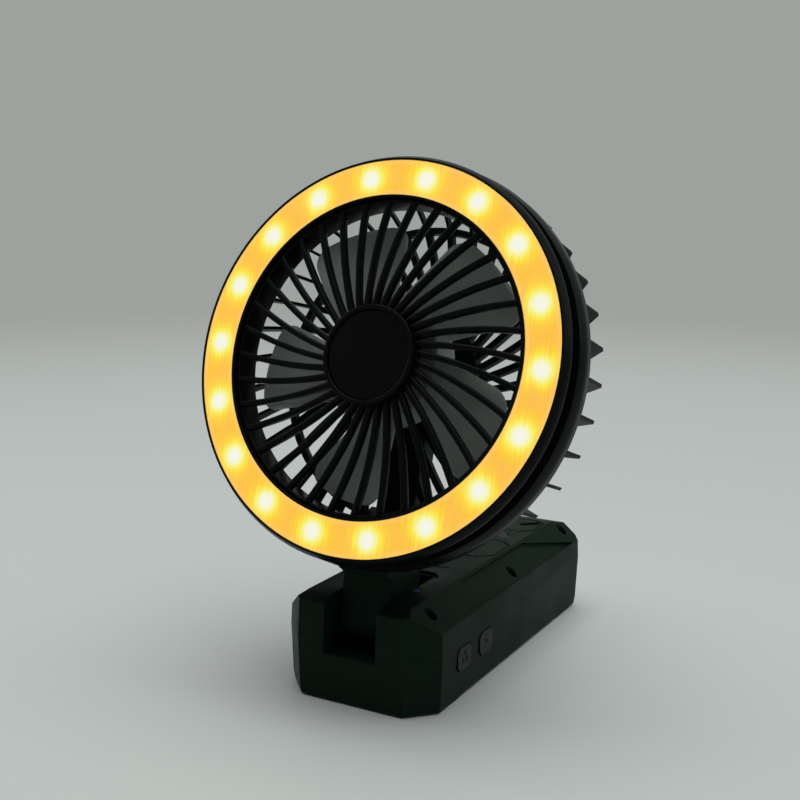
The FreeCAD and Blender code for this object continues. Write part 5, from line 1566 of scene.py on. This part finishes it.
@dataclass
class Studio:
    """The pale floor, the soft light and the camera of the photograph."""

    camera_place: tuple[float, float, float] = (0.2374, -0.4676, 0.2084)
    azimuth: float = 29.1
    elevation: float = 10.25
    roll: float = 0.49
    lens: float = 53.8
    sensor: float = 36.0
    floor_radius: float = 6.0
    floor_tone: Colour = paint(202, 207, 206)
    floor_roughness: float = 0.5
    floor_shine: float = 0.35
    wall_tone: Colour = paint(157, 162, 158)
    sweep_tone: Colour = paint(189, 195, 192)
    room_tone: Colour = paint(172, 177, 174)
    dim_tone: Colour = paint(44, 47, 45)
    dim_side: tuple[float, float, float] = (-0.45, -0.88, 0.15)
    dim_range: Span = (-0.2, 0.7)
    sweep_range: Span = (0.2, 1.6)
    fade_range: Span = (0.3, 0.8)
    lamps: tuple[Lamp, ...] = (
        Lamp("overhead", (0.05, -0.05, 1.5), (0.0, -0.05, 0.1), 1.6, 16.0, (1.0, 1.0, 0.99)),
        Lamp("right_window", (1.2, 0.6, 0.9), (0.0, -0.05, 0.12), 1.2, 2.5, (0.9, 1.0, 0.95)),
        Lamp("left_fill", (-1.4, -0.3, 0.9), (0.0, -0.1, 0.0), 1.0, 4.0, (1.0, 0.99, 0.97)),
    )

    def build(self) -> None:
        """Set up floor, light and camera."""
        self.lay_floor()
        self.light()
        self.place_camera()
        bpy.context.scene.view_settings.view_transform = "Standard"

    def lay_floor(self) -> None:
        """Lay a wide floor that turns into the backdrop's tone far away."""
        mesh = bpy.data.meshes.new("floor")
        work = bmesh.new()
        bmesh.ops.create_circle(work, cap_ends=True, segments=96, radius=self.floor_radius)
        work.to_mesh(mesh)
        work.free()
        mesh.materials.append(self.floor_material())
        floor = bpy.data.objects.new("floor", mesh)
        bpy.context.scene.collection.objects.link(floor)
        floor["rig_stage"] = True

    def floor_material(self) -> bpy.types.Material:
        """Give the floor a matt surface that fades into the backdrop's own tone."""
        made = bpy.data.materials.new("floor")
        made.use_nodes = True
        made.node_tree.nodes.clear()
        wiring = Wiring(made.node_tree)
        place = wiring.place()
        distance = wiring.node("ShaderNodeVectorMath", {0: place}, operation="LENGTH").outputs["Value"]
        fade = wiring.ramp(distance, *self.fade_range)
        tone = wiring.blend(wiring.ramp(distance, *self.sweep_range), self.sweep_tone, self.wall_tone)
        matt = wiring.node("ShaderNodeBsdfPrincipled", {"Base Color": self.floor_tone})
        matt.inputs["Roughness"].default_value = self.floor_roughness
        matt.inputs["Specular IOR Level"].default_value = self.floor_shine
        glow = wiring.node("ShaderNodeEmission", {"Color": tone, "Strength": 1.0})
        mixed = wiring.node("ShaderNodeMixShader", {0: fade, 1: matt.outputs[0], 2: glow.outputs[0]})
        wiring.node("ShaderNodeOutputMaterial", {0: mixed.outputs[0]})
        return made

    def light(self) -> None:
        """Hang the lamps and set a room that is dimmer on one side for matt surfaces."""
        for lamp in self.lamps:
            lamp.hang()
        world = bpy.data.worlds.new("room")
        bpy.context.scene.world = world
        world.use_nodes = True
        world.node_tree.nodes.clear()
        wiring = Wiring(world.node_tree)
        rays = wiring.node("ShaderNodeLightPath").outputs
        seen = wiring.node("ShaderNodeBackground", {"Color": self.wall_tone, "Strength": 1.0})
        direction = wiring.node("ShaderNodeTexCoord").outputs["Generated"]
        sides = {0: direction, 1: self.dim_side}
        facing = wiring.node("ShaderNodeVectorMath", sides, operation="DOT_PRODUCT")
        dim = wiring.ramp(facing.outputs["Value"], *self.dim_range)
        room = wiring.blend(dim, self.room_tone, self.dim_tone)
        around = wiring.node("ShaderNodeBackground", {"Color": room, "Strength": 1.0})
        direct = wiring.math("MAXIMUM", rays["Is Camera Ray"], rays["Is Transmission Ray"])
        shown = wiring.math("MAXIMUM", direct, rays["Is Glossy Ray"])
        mixed = wiring.node("ShaderNodeMixShader", {0: shown, 1: around.outputs[0], 2: seen.outputs[0]})
        wiring.node("ShaderNodeOutputWorld", {0: mixed.outputs[0]})

    def place_camera(self) -> None:
        """Set the camera where the photograph was taken."""
        azimuth, elevation, roll = (math.radians(a) for a in (self.azimuth, self.elevation, self.roll))
        level = math.cos(elevation)
        back = Vector((level * math.sin(azimuth), -level * math.cos(azimuth), math.sin(elevation)))
        right = Vector((math.cos(azimuth), math.sin(azimuth), 0.0))
        up = back.cross(right)
        turned_right = right * math.cos(roll) + up * math.sin(roll)
        turned_up = up * math.cos(roll) - right * math.sin(roll)
        data = bpy.data.cameras.new("camera")
        data.lens = self.lens
        data.sensor_width = self.sensor
        camera = bpy.data.objects.new("camera", data)
        bpy.context.scene.collection.objects.link(camera)
        facing = Matrix((turned_right, turned_up, back)).transposed().to_4x4()
        camera.matrix_world = Matrix.Translation(self.camera_place) @ facing
        bpy.context.scene.camera = camera


def note_bounds(store: dict[str, list[list[float]]], key: str) -> None:
    """Keep the object's corners under a key.

    Args:
        store: Where they are kept.
        key: The key.
    """
    store[key] = [list(corner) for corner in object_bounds()]


def main() -> None:
    """Build every sub-assembly in order and set the scene."""
    logging.basicConfig(level=logging.INFO, format="%(message)s")
    bounds: dict[str, list[list[float]]] = {}
    note_bounds(bounds, "cad")
    axes = HeadAxes.from_joint("impeller_spin")
    palette = Palette(axes)
    spots = SpotTree()
    assemblies: list[SubAssembly] = [
        BaseCase(palette, axes),
        Controls(palette, axes),
        PowerPack(palette, axes),
        TiltArm(palette, axes),
        LightRing(palette, axes),
        RearGuard(palette, axes),
        Motor(palette, axes),
        Impeller(palette, axes, tree=RoundTree()),
        FrontGrille(palette, axes, tree=RibTree()),
    ]
    for node in ("case_screws", "board_screws"):
        assemblies.append(ScrewSet(palette, axes, node=node, tree=spots))
    for node in ("head_screws", "arm_screws", "motor_screws"):
        assemblies.append(ScrewSet(palette, axes, node=node, upright=False, tree=spots))
    for assembly in assemblies:
        assembly.build()
        LOG.info("%s: %d pieces", type(assembly).__name__, len(assembly.pieces))
    Studio().build()
    note_bounds(bounds, "dressed")


if __name__ == "__main__":
    main()
